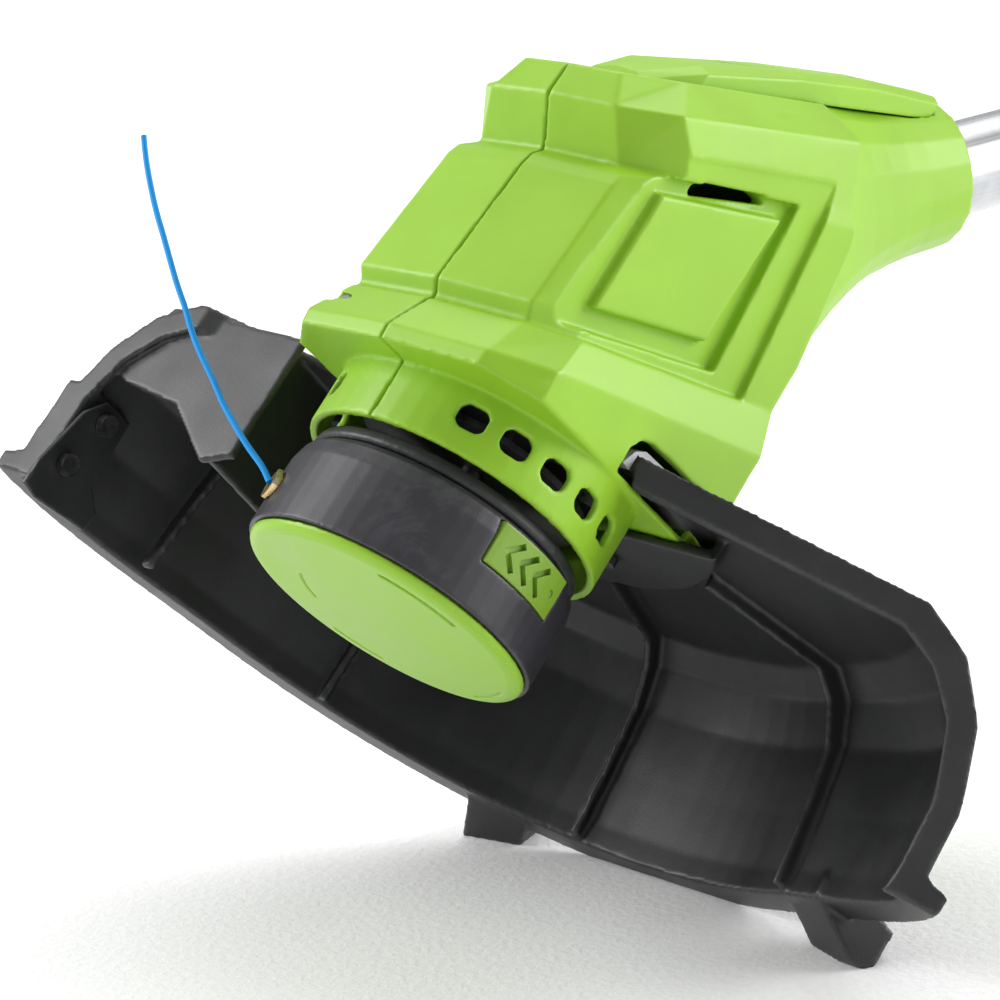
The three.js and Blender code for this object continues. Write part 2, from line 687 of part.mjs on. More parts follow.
// ---- Guard: a thin skirt swept round behind the cutting head ----
const GUARD_NEAR_EDGE = new THREE.Vector3(-0.451, 0.794, 0.409).normalize();
const GUARD_NEAR_REACH = 8.4;
const GUARD_FAR_EDGE = -22; // y of the end that carries the line cutter
const CUTTER_FACE = -119.4; // x of the pad the line cutter is screwed to
const FLANGE_WIDTH = 7.5;
const FLANGE_THICKNESS = 3;
const GUARD_SECTION = [
  // radius, level, flare share, and the way inwards through the wall
  { r: 30, z: GUARD_ROOF, flare: 0, inward: [0, -1] },
  { r: 104, z: GUARD_ROOF, flare: 0.5, inward: [-0.5, -1] },
  { r: 112.5, z: 57, flare: 0.75, inward: [-0.9, -0.75] },
  { r: 118, z: 44, flare: 0.95, inward: [-1, -0.3] },
  { r: 121, z: 24, flare: 1.1, inward: [-1, -0.05] },
  { r: 123, z: 8, flare: 1.05, inward: [-1, 0] },
  { r: 131, z: 6, flare: 1, inward: null },
  { r: 131, z: 1, flare: 1, inward: null },
];
const flareAt = (angle) => {
  const near = THREE.MathUtils.smoothstep(62 - angle, 0, 37);
  const far = THREE.MathUtils.smoothstep(angle - 156, 0, 36);
  return GUARD_FLARE * Math.max(near, 0.82 * far);
};
function guardForm(wall) {
  const rings = [];
  for (let angle = -36; angle <= 206; angle += 4) {
    const flare = flareAt(angle);
    const outer = GUARD_SECTION.map((p) => [p.r + flare * p.flare, p.z]);
    const inner = GUARD_SECTION.filter((p) => p.inward).map((p) => [
      p.r + flare * p.flare + wall * p.inward[0],
      p.z + wall * p.inward[1],
    ]);
    const foot = [inner[5][0], 1];
    const section = [...outer, foot, ...inner.toReversed()];
    rings.push(
      section.map(([r, z]) => {
        const [x, y] = polar(r, angle);
        return [GUARD_CENTRE[0] + x, GUARD_CENTRE[1] + y, z];
      }),
    );
  }
  return lofted(rings);
}

// A plate that stands on a radius of the guard, its outline in (radius, level).
function radialPlate(outline, width, angle) {
  const made = geometryOf(across(outline, -width / 2, width / 2));
  return solid(made.rotateZ(degrees(angle - 90)).translate(...GUARD_CENTRE, 0));
}

const RIB = [
  [60, 62.5],
  [103, 62.5],
  [111.5, 56.5],
  [117, 43.5],
  [119.8, 24],
  [121.5, 2],
  [117.5, 2],
  [115, 24],
  [112, 40.5],
  [106, 51.5],
  [99, 57],
  [60, 57],
];
const RIB_ANGLES = [58, 99, 140, 172];
const FOOT_ANGLES = [55, 112];
const FOOT_WIDTH = 19;
const FOOT = [
  [122, 8],
  [134, 9],
  [134 + GUARD_FOOT_REACH, 5],
  [134 + GUARD_FOOT_REACH, -8],
  [139, -8],
  [122, 2],
];

const blockRoom = lofted(
  LOWER_BLOCK.map((b) =>
    halfRing({
      ...b,
      y: b.y - 1,
      z: b.z - 2 * GAP,
      front: b.front + 1,
      side: b.side + 2 * GAP,
      rear: b.rear + 2 * GAP,
    }),
  ),
);
const hubPlate = join(
  ring(COLLAR_RADIUS + RUNNING, 67, GUARD_ROOF - 8.8, GUARD_ROOF - 5.9),
  ring(64.4, 67, GUARD_ROOF - 8.8, GUARD_ROOF - 1),
).trimByPlane([0, 1, 0], 34);
const ARM = { x: [36.2, 46], y: [6, 33], z: [60.2, 65] };
const rightArm = box(...ARM.x, ...ARM.y, ...ARM.z);
const arms = join(rightArm, mirrored(rightArm));

const guardBody = join(
  cut(guardForm(GUARD_WALL), blockRoom, mirrored(blockRoom)),
  cut(hubPlate, blockRoom, mirrored(blockRoom)),
  ...RIB_ANGLES.map((angle) => radialPlate(RIB, 2.2, angle)),
  arms,
);
// In front of the far end: the roof runs back from it to the slot in the casing.
const farFront = raised(
  [
    [-200, -200],
    [0, -200],
    [0, 2.8],
    [-43, 2.8],
    [-97, GUARD_FAR_EDGE],
    [-200, GUARD_FAR_EDGE],
  ],
  -60,
  120,
);
const trimNear = (made) => made.trimByPlane(GUARD_NEAR_EDGE.toArray(), GUARD_NEAR_REACH);
const sweep = cut(trimNear(guardBody), farFront);
const nearFlange = trimNear(guardForm(FLANGE_WIDTH)).trimByPlane(
  GUARD_NEAR_EDGE.clone().negate().toArray(),
  -GUARD_NEAR_REACH - FLANGE_THICKNESS,
);
const farFlange = cut(guardForm(FLANGE_WIDTH), farFront)
  .trimByPlane([-1, 0, 0], 90)
  .trimByPlane([0, -1, 0], -GUARD_FAR_EDGE - FLANGE_THICKNESS);
const cutterPad = box(-130, CUTTER_FACE, GUARD_FAR_EDGE, -3, 4, 32);
const farBox = join(
  backwards(
    [
      [-60, 62.5],
      [-112, 62.5],
      [-119, 50],
      [-115, 37],
      [-90, 34],
      [-70, 20],
      [-60, 24],
    ],
    GUARD_FAR_EDGE + 2.5,
    GUARD_FAR_EDGE + 5,
  ),
  box(-71.5, -69, GUARD_FAR_EDGE + 2.5, 12, 22, 62.5),
);
const feet = FOOT_ANGLES.map((angle) => {
  const shifted = FOOT.map(([r, z]) => [r + flareAt(angle), z]);
  return radialPlate(shifted, FOOT_WIDTH, angle);
});

// The floor the trimmer lies on: it runs through both feet and the heel of the battery.
const FLOOR_AT_FEET = [
  [91.7, 125.6, -1.5],
  [-44.8, 136.7, 0.5],
];
const batteryHeel = [
  BATTERY_WIDTH / 2 - 4,
  BATTERY_TOP + BATTERY_HEIGHT,
  BATTERY_START + BATTERY_LENGTH - 4,
];
const floor = new THREE.Plane().setFromCoplanarPoints(
  ...FLOOR_AT_FEET.map((p) => new THREE.Vector3(...p)),
  new THREE.Vector3(...pointInHead(batteryHeel)),
);
if (floor.normal.z < 0) floor.negate();
const guardScrews = [1, -1].map((side) => [side * GUARD_SCREW[0], GUARD_SCREW[1]]);
const guardHoles = guardScrews.map(([x, y]) => bar([x, y, 40], [x, y, 80], SCREW_RADIUS + GAP, 10));
const CUTTER_SCREWS = [
  [-17, 9],
  [-13, 25],
];
const cutterHoles = CUTTER_SCREWS.map(([y, z]) =>
  bar([CUTTER_FACE - 8, y, z], [CUTTER_FACE + 12, y, z], SCREW_RADIUS + GAP, 10),
);
const wholeGuard = join(sweep, nearFlange, farFlange, cutterPad, farBox, ...feet);
const armPassage = box(ARM.x[0] - GAP, 60, ARM.y[0] - GAP, 37, ARM.z[0] - GAP, 100);
const roomPastArm = cut(blockRoom, armPassage);
const guard = cut(
  wholeGuard.trimByPlane(floor.normal.toArray(), -floor.constant),
  roomPastArm,
  mirrored(roomPastArm),
  ...guardHoles,
  ...cutterHoles,
);
place(head, "guard", guard, black);
guardScrews.forEach(([x, y], i) => {
  const seat = GUARD_ROOF - 8.8 - GAP;
  const screw = join(
    bar([x, y, seat - SCREW_HEAD_HEIGHT], [x, y, seat], SCREW_HEAD_RADIUS, 12),
    bar([x, y, seat - 1], [x, y, 70], SCREW_RADIUS, 8),
  );
  place(head, `guard_screw_${i + 1}`, screw, darkSteel);
});

// The blade that trims the line to length, screwed to the far end of the guard.
const BLADE = [
  [-5, 31],
  [-16, 31],
  [-21, 24],
  [-25, 5],
  [-25, -3],
  [-19, -4],
  [2, -1],
  [3, 5],
  [-4, 10],
];
const bladePlate = across(BLADE, CUTTER_FACE + GAP, CUTTER_FACE + 1.9);
place(head, "line_cutter", cut(bladePlate, ...cutterHoles), black);
CUTTER_SCREWS.forEach(([y, z], i) => {
  const face = CUTTER_FACE + 1.9 + GAP;
  const screw = join(
    bar([face, y, z], [face + SCREW_HEAD_HEIGHT, y, z], SCREW_HEAD_RADIUS, 12),
    bar([face + 1, y, z], [CUTTER_FACE - 7.5, y, z], SCREW_RADIUS, 8),
  );
  place(head, `cutter_screw_${i + 1}`, screw, darkSteel);
});

// Grey liners in the two side slots, round the ends of the guard's arms.
const SLOT_PLATE = [
  [2.2, 60.6],
  [4.4, 65.4],
  [8, 67.8],
  [33, 70.4],
  [35.4, 67.4],
  [35.4, 60.6],
];
const LINER_FACE = 41.2;
const armRoom = box(ARM.x[0] - GAP, 60, ARM.y[0] - GAP, 60, 50, ARM.z[1] + GAP);
const liner = cut(across(SLOT_PLATE, 34.4, LINER_FACE), armRoom);
[1, -1].forEach((side, i) => {
  place(head, `slot_plate_${i + 1}`, side > 0 ? liner : mirrored(liner), grey);
});

// ---- Shaft: an inner tube from the head, an outer tube from the rear handle ----
const placeTurned = (name, profile, material, segments) =>
  place(shaft, name, turned(profile, segments), material);
placeTurned(
  "lower_tube",
  [
    [TUBE_RADIUS - TUBE_WALL, TUBE_START],
    [TUBE_RADIUS, TUBE_START],
    [TUBE_RADIUS, TUBE_END],
    [TUBE_RADIUS - TUBE_WALL, TUBE_END],
    [TUBE_RADIUS - TUBE_WALL, TUBE_START],
  ],
  aluminium,
  36,
);
const OUTER_BORE = TUBE_RADIUS + RUNNING * 2;
placeTurned(
  "upper_tube",
  [
    [OUTER_BORE, OUTER_TUBE_START],
    [OUTER_TUBE_RADIUS, OUTER_TUBE_START],
    [OUTER_TUBE_RADIUS, OUTER_TUBE_END],
    [OUTER_BORE, OUTER_TUBE_END],
    [OUTER_BORE, OUTER_TUBE_START],
  ],
  aluminium,
  36,
);
place(shaft, "motor_lead", bar([-4, 0, TUBE_START + 4], [-4, 0, TUBE_END - 10], 2.2, 8), black);
place(shaft, "handle_lead", bar([4, 0, 500], [4, 0, 1062], 2.2, 8), black);

// The clamp that locks the two tubes, with its flip lever.
const CLAMP_END = CLAMP_START + CLAMP_LENGTH;
const LEVER_PIVOT = [CLAMP_RADIUS + 5.5, CLAMP_START + 15]; // above the axis, along the shaft
const clampShell = turned(
  [
    [TUBE_RADIUS + RUNNING, CLAMP_START],
    [CLAMP_RADIUS - 2, CLAMP_START],
    [CLAMP_RADIUS, CLAMP_START + 3],
    [CLAMP_RADIUS, CLAMP_END - 3],
    [CLAMP_RADIUS - 2, CLAMP_END],
    [OUTER_TUBE_RADIUS + GAP, CLAMP_END],
    [OUTER_TUBE_RADIUS + GAP, OUTER_TUBE_START - GAP],
    [TUBE_RADIUS + RUNNING, OUTER_TUBE_START - GAP],
    [TUBE_RADIUS + RUNNING, CLAMP_START],
  ],
  36,
);
const lugs = [1, -1].map((side) =>
  box(Math.min(side * 8, side * 13), Math.max(side * 8, side * 13), -LEVER_PIVOT[0] - 5, -17,
    CLAMP_START + 6, CLAMP_START + 23),
);
const pivotBar = (radius, half, segments = 14) =>
  bar([-half, -LEVER_PIVOT[0], LEVER_PIVOT[1]], [half, -LEVER_PIVOT[0], LEVER_PIVOT[1]], radius, segments);
const clampBody = cut(join(clampShell, ...lugs), pivotBar(2 + GAP, 20));
place(shaft, "clamp_body", clampBody, black);
place(shaft, "clamp_pin", pivotBar(2, 13.5), steel);
const lever = cut(
  join(
    pivotBar(4.6, 7.4, 18),
    box(-7.4, 7.4, -LEVER_PIVOT[0] - 3.4, -LEVER_PIVOT[0] + 1, LEVER_PIVOT[1], LEVER_PIVOT[1] + 12),
    box(-12, 12, -LEVER_PIVOT[0] - 3.4, -LEVER_PIVOT[0] + 1.4, LEVER_PIVOT[1] + 10.6, CLAMP_END + 6),
  ),
  pivotBar(2 + RUNNING, 20),
);
place(shaft, "clamp_lever", lever, lime);

// The front hand loop on its own clamp, tilted about a cross bolt.
const AUX_PIVOT = AUX_RADIUS + 10;
const auxBar = (radius, x0, x1, segments = 14) =>
  bar([x0, -AUX_PIVOT, AUX_POSITION], [x1, -AUX_PIVOT, AUX_POSITION], radius, segments);
const ears = [1, -1].map((side) =>
  box(Math.min(side * 9, side * 15), Math.max(side * 9, side * 15), -AUX_PIVOT - 6, -18,
    AUX_POSITION - 7, AUX_POSITION + 7),
);
const auxRing = ring(
  OUTER_TUBE_RADIUS + GAP,
  AUX_RADIUS,
  AUX_POSITION - AUX_WIDTH / 2,
  AUX_POSITION + AUX_WIDTH / 2,
  36,
);
place(shaft, "aux_clamp", cut(join(auxRing, ...ears), auxBar(3 + GAP, -30, 30)), black);
const LOOP = [
  [3, 60],
  [46, 66],
  [70, 94],
  [64, 132],
  [36, 154],
  [0, 158],
  [-36, 154],
  [-64, 132],
  [-70, 94],
  [-46, 66],
  [-3, 60],
];
const loop = swept(
  LOOP.map(([x, above]) => [x, -above, AUX_POSITION - 0.25 * (above - 60)]),
  AUX_BAR_RADIUS - 2,
  10,
  44,
);
const loopHub = bar([-13, -60, AUX_POSITION], [13, -60, AUX_POSITION], AUX_BAR_RADIUS, 16);
const auxHandle = cut(
  join(loop, loopHub, auxBar(8, -8, 8, 20), box(-8, 8, -60, -AUX_PIVOT, AUX_POSITION - 6, AUX_POSITION + 6)),
  auxBar(3 + RUNNING, -30, 30),
);
place(shaft, "aux_handle", auxHandle, rubber);
place(shaft, "aux_bolt", join(auxBar(3, -18, 27), auxBar(6, -18.5, -15 - GAP, 6)), steel);
const knobLobes = Array.from({ length: 6 }, (_, i) => {
  const [dy, dz] = polar(8, i * 60);
  return bar(
    [17, -AUX_PIVOT + dy, AUX_POSITION + dz],
    [31, -AUX_PIVOT + dy, AUX_POSITION + dz],
    3.2,
    8,
  );
});
const knob = cut(join(auxBar(9, 15 + RUNNING, 32, 24), ...knobLobes), auxBar(3 + GAP, 10, 27 + GAP));
place(shaft, "aux_knob", knob, black);

// ---- Rear handle: two shells on the seam, around trigger, switch and battery foot ----
// Outlines in (below the axis, along the shaft).
const HANDLE = [
  [-20, HANDLE_START],
  [-24, 1060],
  [-15, 1120],
  [5, 1228],
  [18, 1260],
  [44, 1276],
  [92, 1276],
  [92, 1140],
  [84, 1116],
  [44, 1060],
  [24, 1044],
  [20, HANDLE_START],
];
const FINGER_GAP = [
  [22, 1078],
  [20, 1112],
  [36, 1196],
  [46, 1204],
  [76, 1204],
  [80, 1190],
  [80, 1146],
  [72, 1124],
  [44, 1082],
];
const HANDLE_ROOM = [
  [-19, 1010],
  [-20, 1060],
  [-11, 1118],
  [8, 1224],
  [21, 1256],
  [47, 1271],
  [87, 1271],
  [87, 1210],
  [46, 1209],
  [31, 1195],
  [15, 1112],
  [16, 1070],
  [16, 1010],
];
const FOOT_BLOCK = [
  [74, 1150],
  [74, 1276],
  [BATTERY_TOP - GAP, 1276],
  [BATTERY_TOP - GAP, 1150],
];
const TRIGGER_PIVOT = [6, 1086];
const TRIGGER_HALF = 8;
const RAIL = [22, 29]; // across, on each side
const RAIL_DEPTH = 6;
const HANDLE_SCREWS = [
  [12, 1035],
  [62, 1262],
  [84, 1132],
  [30, 1232],
];
const PIN_BOSS = 5;
const handleBar = ([below, along], radius, x0, x1, segments = 12) =>
  bar([x0, below, along], [x1, below, along], radius, segments);
const handleSide = box(SHELL_SPLIT / 2, 100, -200, 300, 800, 1400);
const tubeSeat = disc(OUTER_TUBE_RADIUS + GAP, 900, OUTER_TUBE_END + GAP, 36);
const leadPath = disc(8, 990, 1070, 20);
const triggerSlot = box(-TRIGGER_HALF - RUNNING, TRIGGER_HALF + RUNNING, 8, 60, 1076, 1141);
const lockSlot = box(-7 - RUNNING, 7 + RUNNING, -40, 0, 1083 - RUNNING, 1105 + RUNNING);
const terminalSlot = box(-13 - GAP, 13 + GAP, 60, 100, 1212 - GAP, 1250 + GAP);
function handleHalf() {
  const grip = cut(
    across(HANDLE, PAST_SEAM, GRIP_HALF_WIDTH, 3.5),
    across(FINGER_GAP, PAST_SEAM - 1, GRIP_HALF_WIDTH + 1),
  );
  const sleeve = turned(
    [
      [0, HANDLE_START - 12],
      [19.5, HANDLE_START - 12],
      [21.5, HANDLE_START - 9],
      [24, 1040],
      [18, 1076],
      [0, 1080],
    ],
    36,
  );
  const rail = join(
    box(RAIL[0], RAIL[1] - 3, BATTERY_TOP - 4, BATTERY_TOP + RAIL_DEPTH, 1158, 1268),
    box(RAIL[0], RAIL[1], BATTERY_TOP + RAIL_DEPTH - 3, BATTERY_TOP + RAIL_DEPTH, 1158, 1268),
  );
  const outside = join(grip, sleeve, across(FOOT_BLOCK, PAST_SEAM, BATTERY_WIDTH / 2 - 1, 2.5), rail);
  const room = across(HANDLE_ROOM, PAST_SEAM - 1, GRIP_HALF_WIDTH - WALL);
  const bosses = [
    ...HANDLE_SCREWS.map((spot) => handleBar(spot, BOSS_RADIUS, PAST_SEAM, GRIP_HALF_WIDTH - 1)),
    handleBar(TRIGGER_PIVOT, PIN_BOSS, TRIGGER_HALF + RUNNING, GRIP_HALF_WIDTH - 1),
  ];
  return join(cut(outside, room), ...bosses).intersect(handleSide);
}
const pinHole = handleBar(TRIGGER_PIVOT, 2 + GAP, -14, 14);
const handleHoles = HANDLE_SCREWS.flatMap((spot) => [
  handleBar(spot, SCREW_HEAD_RADIUS + GAP, -60, -11),
  handleBar(spot, SCREW_RADIUS + GAP, -60, 12.5, 10),
]);
const handleOpenings = join(
  tubeSeat,
  leadPath,
  triggerSlot,
  lockSlot,
  terminalSlot,
  pinHole,
  ...handleHoles,
);
const rightHandle = handleHalf();
place(shaft, "handle_right", cut(rightHandle, handleOpenings), lime);
place(shaft, "handle_left", cut(mirrored(rightHandle), handleOpenings), lime);
HANDLE_SCREWS.forEach((spot, i) => {
  const screw = join(
    handleBar(spot, SCREW_HEAD_RADIUS, -11 - GAP - SCREW_HEAD_HEIGHT, -11 - GAP),
    handleBar(spot, SCREW_RADIUS, -12, 12, 8),
  );
  place(shaft, `handle_screw_${i + 1}`, screw, darkSteel);
});

const TRIGGER = [
  [0, 1080],
  [1, 1095],
  [12, 1130],
  [18, 1136],
  [30, 1133],
  [35, 1120],
  [34, 1106],
  [37, 1092],
  [30, 1081],
  [12, 1078.5],
];
const trigger = cut(
  across(TRIGGER, -TRIGGER_HALF, TRIGGER_HALF, 1.5),
  handleBar(TRIGGER_PIVOT, 2 + RUNNING, -20, 20),
);
place(shaft, "trigger", trigger, black);
place(shaft, "trigger_pin", handleBar(TRIGGER_PIVOT, 2, -13.6, 13.6), steel);
const springSeat = [3.2, 1110];
const triggerSpring = helix(3.4, 0.5, 0, 11, 4, 8);
const springTurn = new THREE.Matrix4().makeRotationX(Math.PI / 2);
springTurn.setPosition(0, springSeat[0], springSeat[1]);
place(shaft, "trigger_spring", solid(geometryOf(triggerSpring).applyMatrix4(springTurn)), steel);
const lockOff = join(
  box(-7, 7, -27, -9, 1083, 1105),
  box(-9, 9, -10.5, -8, 1081, 1107),
);
place(shaft, "lock_off_button", lockOff, limeDark);
place(shaft, "power_switch", join(box(-7, 7, 6, 22, 1150, 1176), box(-3, 3, 9, 14, 1147, 1151)), black);
const terminals = join(
  box(-12, 12, 78, BATTERY_TOP + 2, 1213, 1249),
  ...[-8, 0, 8].map((x) => box(x - 0.8, x + 0.8, 80, BATTERY_TOP + 9, 1217, 1246)),
);
place(shaft, "terminal_block", terminals, grey);

// ---- Battery pack, slid on from behind ----
const BATTERY = [
  [BATTERY_TOP + GAP, BATTERY_START],
  [BATTERY_TOP + BATTERY_HEIGHT - 8, BATTERY_START],
  [BATTERY_TOP + BATTERY_HEIGHT, BATTERY_START + 8],
  [BATTERY_TOP + BATTERY_HEIGHT, BATTERY_START + BATTERY_LENGTH - 4],
  [BATTERY_TOP + BATTERY_HEIGHT - 4, BATTERY_START + BATTERY_LENGTH],
  [BATTERY_TOP + GAP, BATTERY_START + BATTERY_LENGTH],
];
const railRoom = (side) => {
  const [a, b] = [RAIL[0] - RUNNING, RAIL[1] + RUNNING];
  const [x0, x1] = side > 0 ? [a, b] : [-b, -a];
  return box(x0, x1, BATTERY_TOP - 10, BATTERY_TOP + RAIL_DEPTH + RUNNING, BATTERY_START - 10, 1269);
};
const LATCH = { below: [104, 122], along: [1236, 1258], depth: 5 };
const latchPocket = (side, room) => {
  const [x0, x1] = [BATTERY_WIDTH / 2 - LATCH.depth - 3.5 * (room > 0), BATTERY_WIDTH / 2 + 1.2];
  const made = box(
    x0,
    x1 + 10 * (room > 0),
    LATCH.below[0] - room,
    LATCH.below[1] + room,
    LATCH.along[0] - room,
    LATCH.along[1] + room,
  );
  return side > 0 ? made : mirrored(made);
};
const battery = cut(
  across(BATTERY, -BATTERY_WIDTH / 2, BATTERY_WIDTH / 2, 4),
  railRoom(1),
  railRoom(-1),
  box(-14, 14, BATTERY_TOP - 10, BATTERY_TOP + 10, BATTERY_START - 10, 1251),
  latchPocket(1, GAP),
  latchPocket(-1, GAP),
);
place(shaft, "battery_pack", battery, black);
[1, -1].forEach((side, i) => {
  place(shaft, `battery_latch_${i + 1}`, latchPocket(side, 0), limeDark);
});

// ---- Laid on the floor ----
const up = floor.normal;
const along = new THREE.Vector3(0, Math.sin(SHAFT_TILT), Math.cos(SHAFT_TILT));
along.addScaledVector(up, -along.dot(up)).normalize();
const row = new THREE.Matrix4().makeBasis(along, up.clone().cross(along), up).invert();
head.applyMatrix4(row);
const bounds = new THREE.Box3();
trimmer.updateMatrixWorld(true);
trimmer.traverse((piece) => {
  if (piece.isMesh && piece.name !== "cutting_line") bounds.expandByObject(piece, true);
});
const middle = bounds.getCenter(new THREE.Vector3());
head.position.sub(new THREE.Vector3(middle.x, middle.y, bounds.min.z));

export default trimmer;
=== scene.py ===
# %% [markdown]
# # A cordless string trimmer
# A motor head on the end of a tube spins a short piece of nylon line that cuts grass.
# The measured parts come in as a fixed frame. This notebook gives them their moulded edges,
# their marks and their finishes, and lights them on a plain pale floor.

# %% Load the fixed frame
import json
import math

import bpy
from mathutils import Matrix, Vector


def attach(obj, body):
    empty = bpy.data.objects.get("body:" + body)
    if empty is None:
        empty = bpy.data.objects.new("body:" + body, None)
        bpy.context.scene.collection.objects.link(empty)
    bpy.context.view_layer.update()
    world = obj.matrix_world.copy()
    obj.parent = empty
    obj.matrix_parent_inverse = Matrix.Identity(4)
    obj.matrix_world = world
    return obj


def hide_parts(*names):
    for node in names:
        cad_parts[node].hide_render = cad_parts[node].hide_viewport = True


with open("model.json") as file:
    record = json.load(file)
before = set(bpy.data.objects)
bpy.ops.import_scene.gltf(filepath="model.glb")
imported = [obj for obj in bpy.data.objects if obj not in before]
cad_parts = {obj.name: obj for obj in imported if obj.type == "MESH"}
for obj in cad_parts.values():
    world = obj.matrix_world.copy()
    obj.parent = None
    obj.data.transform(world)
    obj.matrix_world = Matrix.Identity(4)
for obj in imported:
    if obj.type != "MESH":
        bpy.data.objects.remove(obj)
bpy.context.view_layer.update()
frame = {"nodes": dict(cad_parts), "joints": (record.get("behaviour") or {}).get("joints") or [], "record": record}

print("parts in the frame:", len(frame["nodes"]))

# %% [markdown]
# ## Two frames of reference
# The head is tilted against the floor, so placing a mark on it in floor coordinates would be guesswork.
# The joints say where the head's spindle and the shaft point, and two directions are enough to build a
# frame for each. Everything below is then given in millimetres in the head's or the shaft's own frame.

# %% The frames of the head and the shaft
MM = 0.001
CROSSING = 113  # up the spindle from the cap, where the shaft's axis meets it
joints = {joint["name"]: joint for joint in frame["joints"]}
mounts = {mount["name"]: mount for mount in frame["record"]["mounts"]}


def frame_of(right, back, up, origin):
    made = Matrix((right, back, up)).transposed().to_4x4()
    made.translation = origin
    return made


spindle_up = Vector(joints["head_spin"]["axis"]).normalized()
shaft_up = -Vector(joints["shaft_telescope"]["axis"]).normalized()
right_side = shaft_up.cross(spindle_up).normalized()
cap_centre = Vector(mounts["cap_face"]["pos_m"])
HEAD = frame_of(right_side, spindle_up.cross(right_side), spindle_up, cap_centre)
crossing = cap_centre + spindle_up * CROSSING * MM
SHAFT = frame_of(right_side, shaft_up.cross(right_side), shaft_up, crossing)
print("the head leans", round(math.degrees(spindle_up.angle(Vector((0, 0, 1))))), "degrees")

# %% [markdown]
# ## The camera
# A long lens from the front of the head, a little below its cap, so that the cap, the inside of the
# guard and the casing's flank are all seen. It could be aimed with a constraint, but the cap is meant to
# sit at a slight roll, so the camera's own axes are written down instead.

# %% Set the camera
SENSOR_WIDTH = 36
FOCAL_LENGTH = 126
lens_data = bpy.data.cameras.new("studio_lens")
lens_data.sensor_width = SENSOR_WIDTH
lens_data.lens = FOCAL_LENGTH
lens_data.clip_start = 0.05
lens_data.clip_end = 60
camera = bpy.data.objects.new("studio_camera", lens_data)
bpy.context.scene.collection.objects.link(camera)
camera_back = Vector((0.65268, -0.69226, -0.30788)).normalized()
camera_right = Vector((-0.19959, -0.54912, 0.81156)).cross(camera_back).normalized()
camera_up = camera_back.cross(camera_right)
camera_place = Vector((598.72, -620.53, -235.44)) * MM
camera.matrix_world = HEAD @ frame_of(camera_right, camera_up, camera_back, camera_place)
bpy.context.scene.camera = camera
print("camera height", round(camera.matrix_world.translation.z, 3))

# %% [markdown]
# ## The cutting line
# A free end of round nylon line, stiff enough to stand out from its eyelet with nothing to hold it up. It
# could be extruded ring by ring, but a smooth curve with a round bevel follows its points more evenly. The
# curve is then made a mesh, so that the trimmer's box is measured on the line's real surface.

# %% Select one piece and nothing else
def alone(piece):
    if bpy.context.object and bpy.context.object.mode != "OBJECT":
        bpy.ops.object.mode_set(mode="OBJECT")
    bpy.ops.object.select_all(action="DESELECT")
    piece.select_set(True)
    bpy.context.view_layer.objects.active = piece


# %% The line's route, from its eyelet outwards
LINE_DIAMETER = 1.65
line_route = [
    (-25.4, -35, 13), (-28.7, -36.4, 15.6), (-35, -38.8, 19.1), (-41, -41.2, 22.9),
    (-46.9, -43.6, 27), (-52.4, -46, 31.6), (-58.1, -48.4, 36), (-63.6, -50.8, 40.8),
    (-68.5, -53.2, 46), (-73.8, -55.6, 51.1), (-78.8, -58, 56.4), (-83.8, -60.4, 61.8),
    (-88.9, -62.8, 67.2), (-93.7, -65.2, 72.9), (-98.1, -67.6, 78.7), (-102.1, -70, 84.8),
]
route = [HEAD @ (Vector(point) * MM) for point in line_route]
line_curve = bpy.data.curves.new("line_end", "CURVE")
line_curve.dimensions = "3D"
line_curve.bevel_depth = LINE_DIAMETER / 2 * MM
line_curve.bevel_resolution = 4
line_curve.resolution_u = 8
line_curve.use_fill_caps = True
spline = line_curve.splines.new("BEZIER")
spline.bezier_points.add(len(route) - 1)
for knot, place in zip(spline.bezier_points, route):
    knot.co = place
    knot.handle_left_type = knot.handle_right_type = "AUTO"
cutting_line = bpy.data.objects.new("line_end", line_curve)
bpy.context.scene.collection.objects.link(cutting_line)
alone(cutting_line)
bpy.ops.object.convert(target="MESH")
cutting_line = bpy.context.object
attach(cutting_line, "cutting_head")
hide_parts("cutting_line")

# %% [markdown]
# ## The studio
# The trimmer lies on a plain white floor that runs far behind it, so no edge shows. Lamps beside the
# object would leave the far floor grey, so three very soft suns are used: one from each side and one from
# above. Little light comes from the camera's own side, which keeps the casing's corner facets darker.

# %% The floor
FLOOR_SIZE = 60
bpy.ops.object.select_all(action="DESELECT")
bpy.ops.mesh.primitive_plane_add(size=FLOOR_SIZE, location=(0, 0, 0))
floor = bpy.context.object
floor.name = "studio_floor"
bpy.context.scene.view_settings.view_transform = "Standard"
print("floor", FLOOR_SIZE, "metres across")


# %% The soft lights
def soft_sun(name, towards, strength, softness):
    """A broad sun that shines from the given way, told in the camera's own axes."""
    light = bpy.data.lights.new(name, "SUN")
    light.energy = strength
    light.angle = math.radians(softness)
    lamp = bpy.data.objects.new(name, light)
    bpy.context.scene.collection.objects.link(lamp)
    from_way = camera.matrix_world.to_3x3() @ Vector(towards)
    lamp.rotation_euler = from_way.to_track_quat("Z", "Y").to_euler()
    return lamp


soft_sun("left_softbox", (-0.85, 0.52, 0.0), 2.7, 40)
soft_sun("right_softbox", (0.93, 0.3, 0.0), 2.9, 40)
soft_sun("top_softbox", (0.1, 0.95, -0.25), 1.5, 60)
sky = bpy.data.worlds.new("studio_light")
bpy.context.scene.world = sky
sky.use_nodes = True
sky.node_tree.nodes["Background"].inputs["Color"].default_value = (1, 1, 1, 1)
sky.node_tree.nodes["Background"].inputs["Strength"].default_value = 0.42

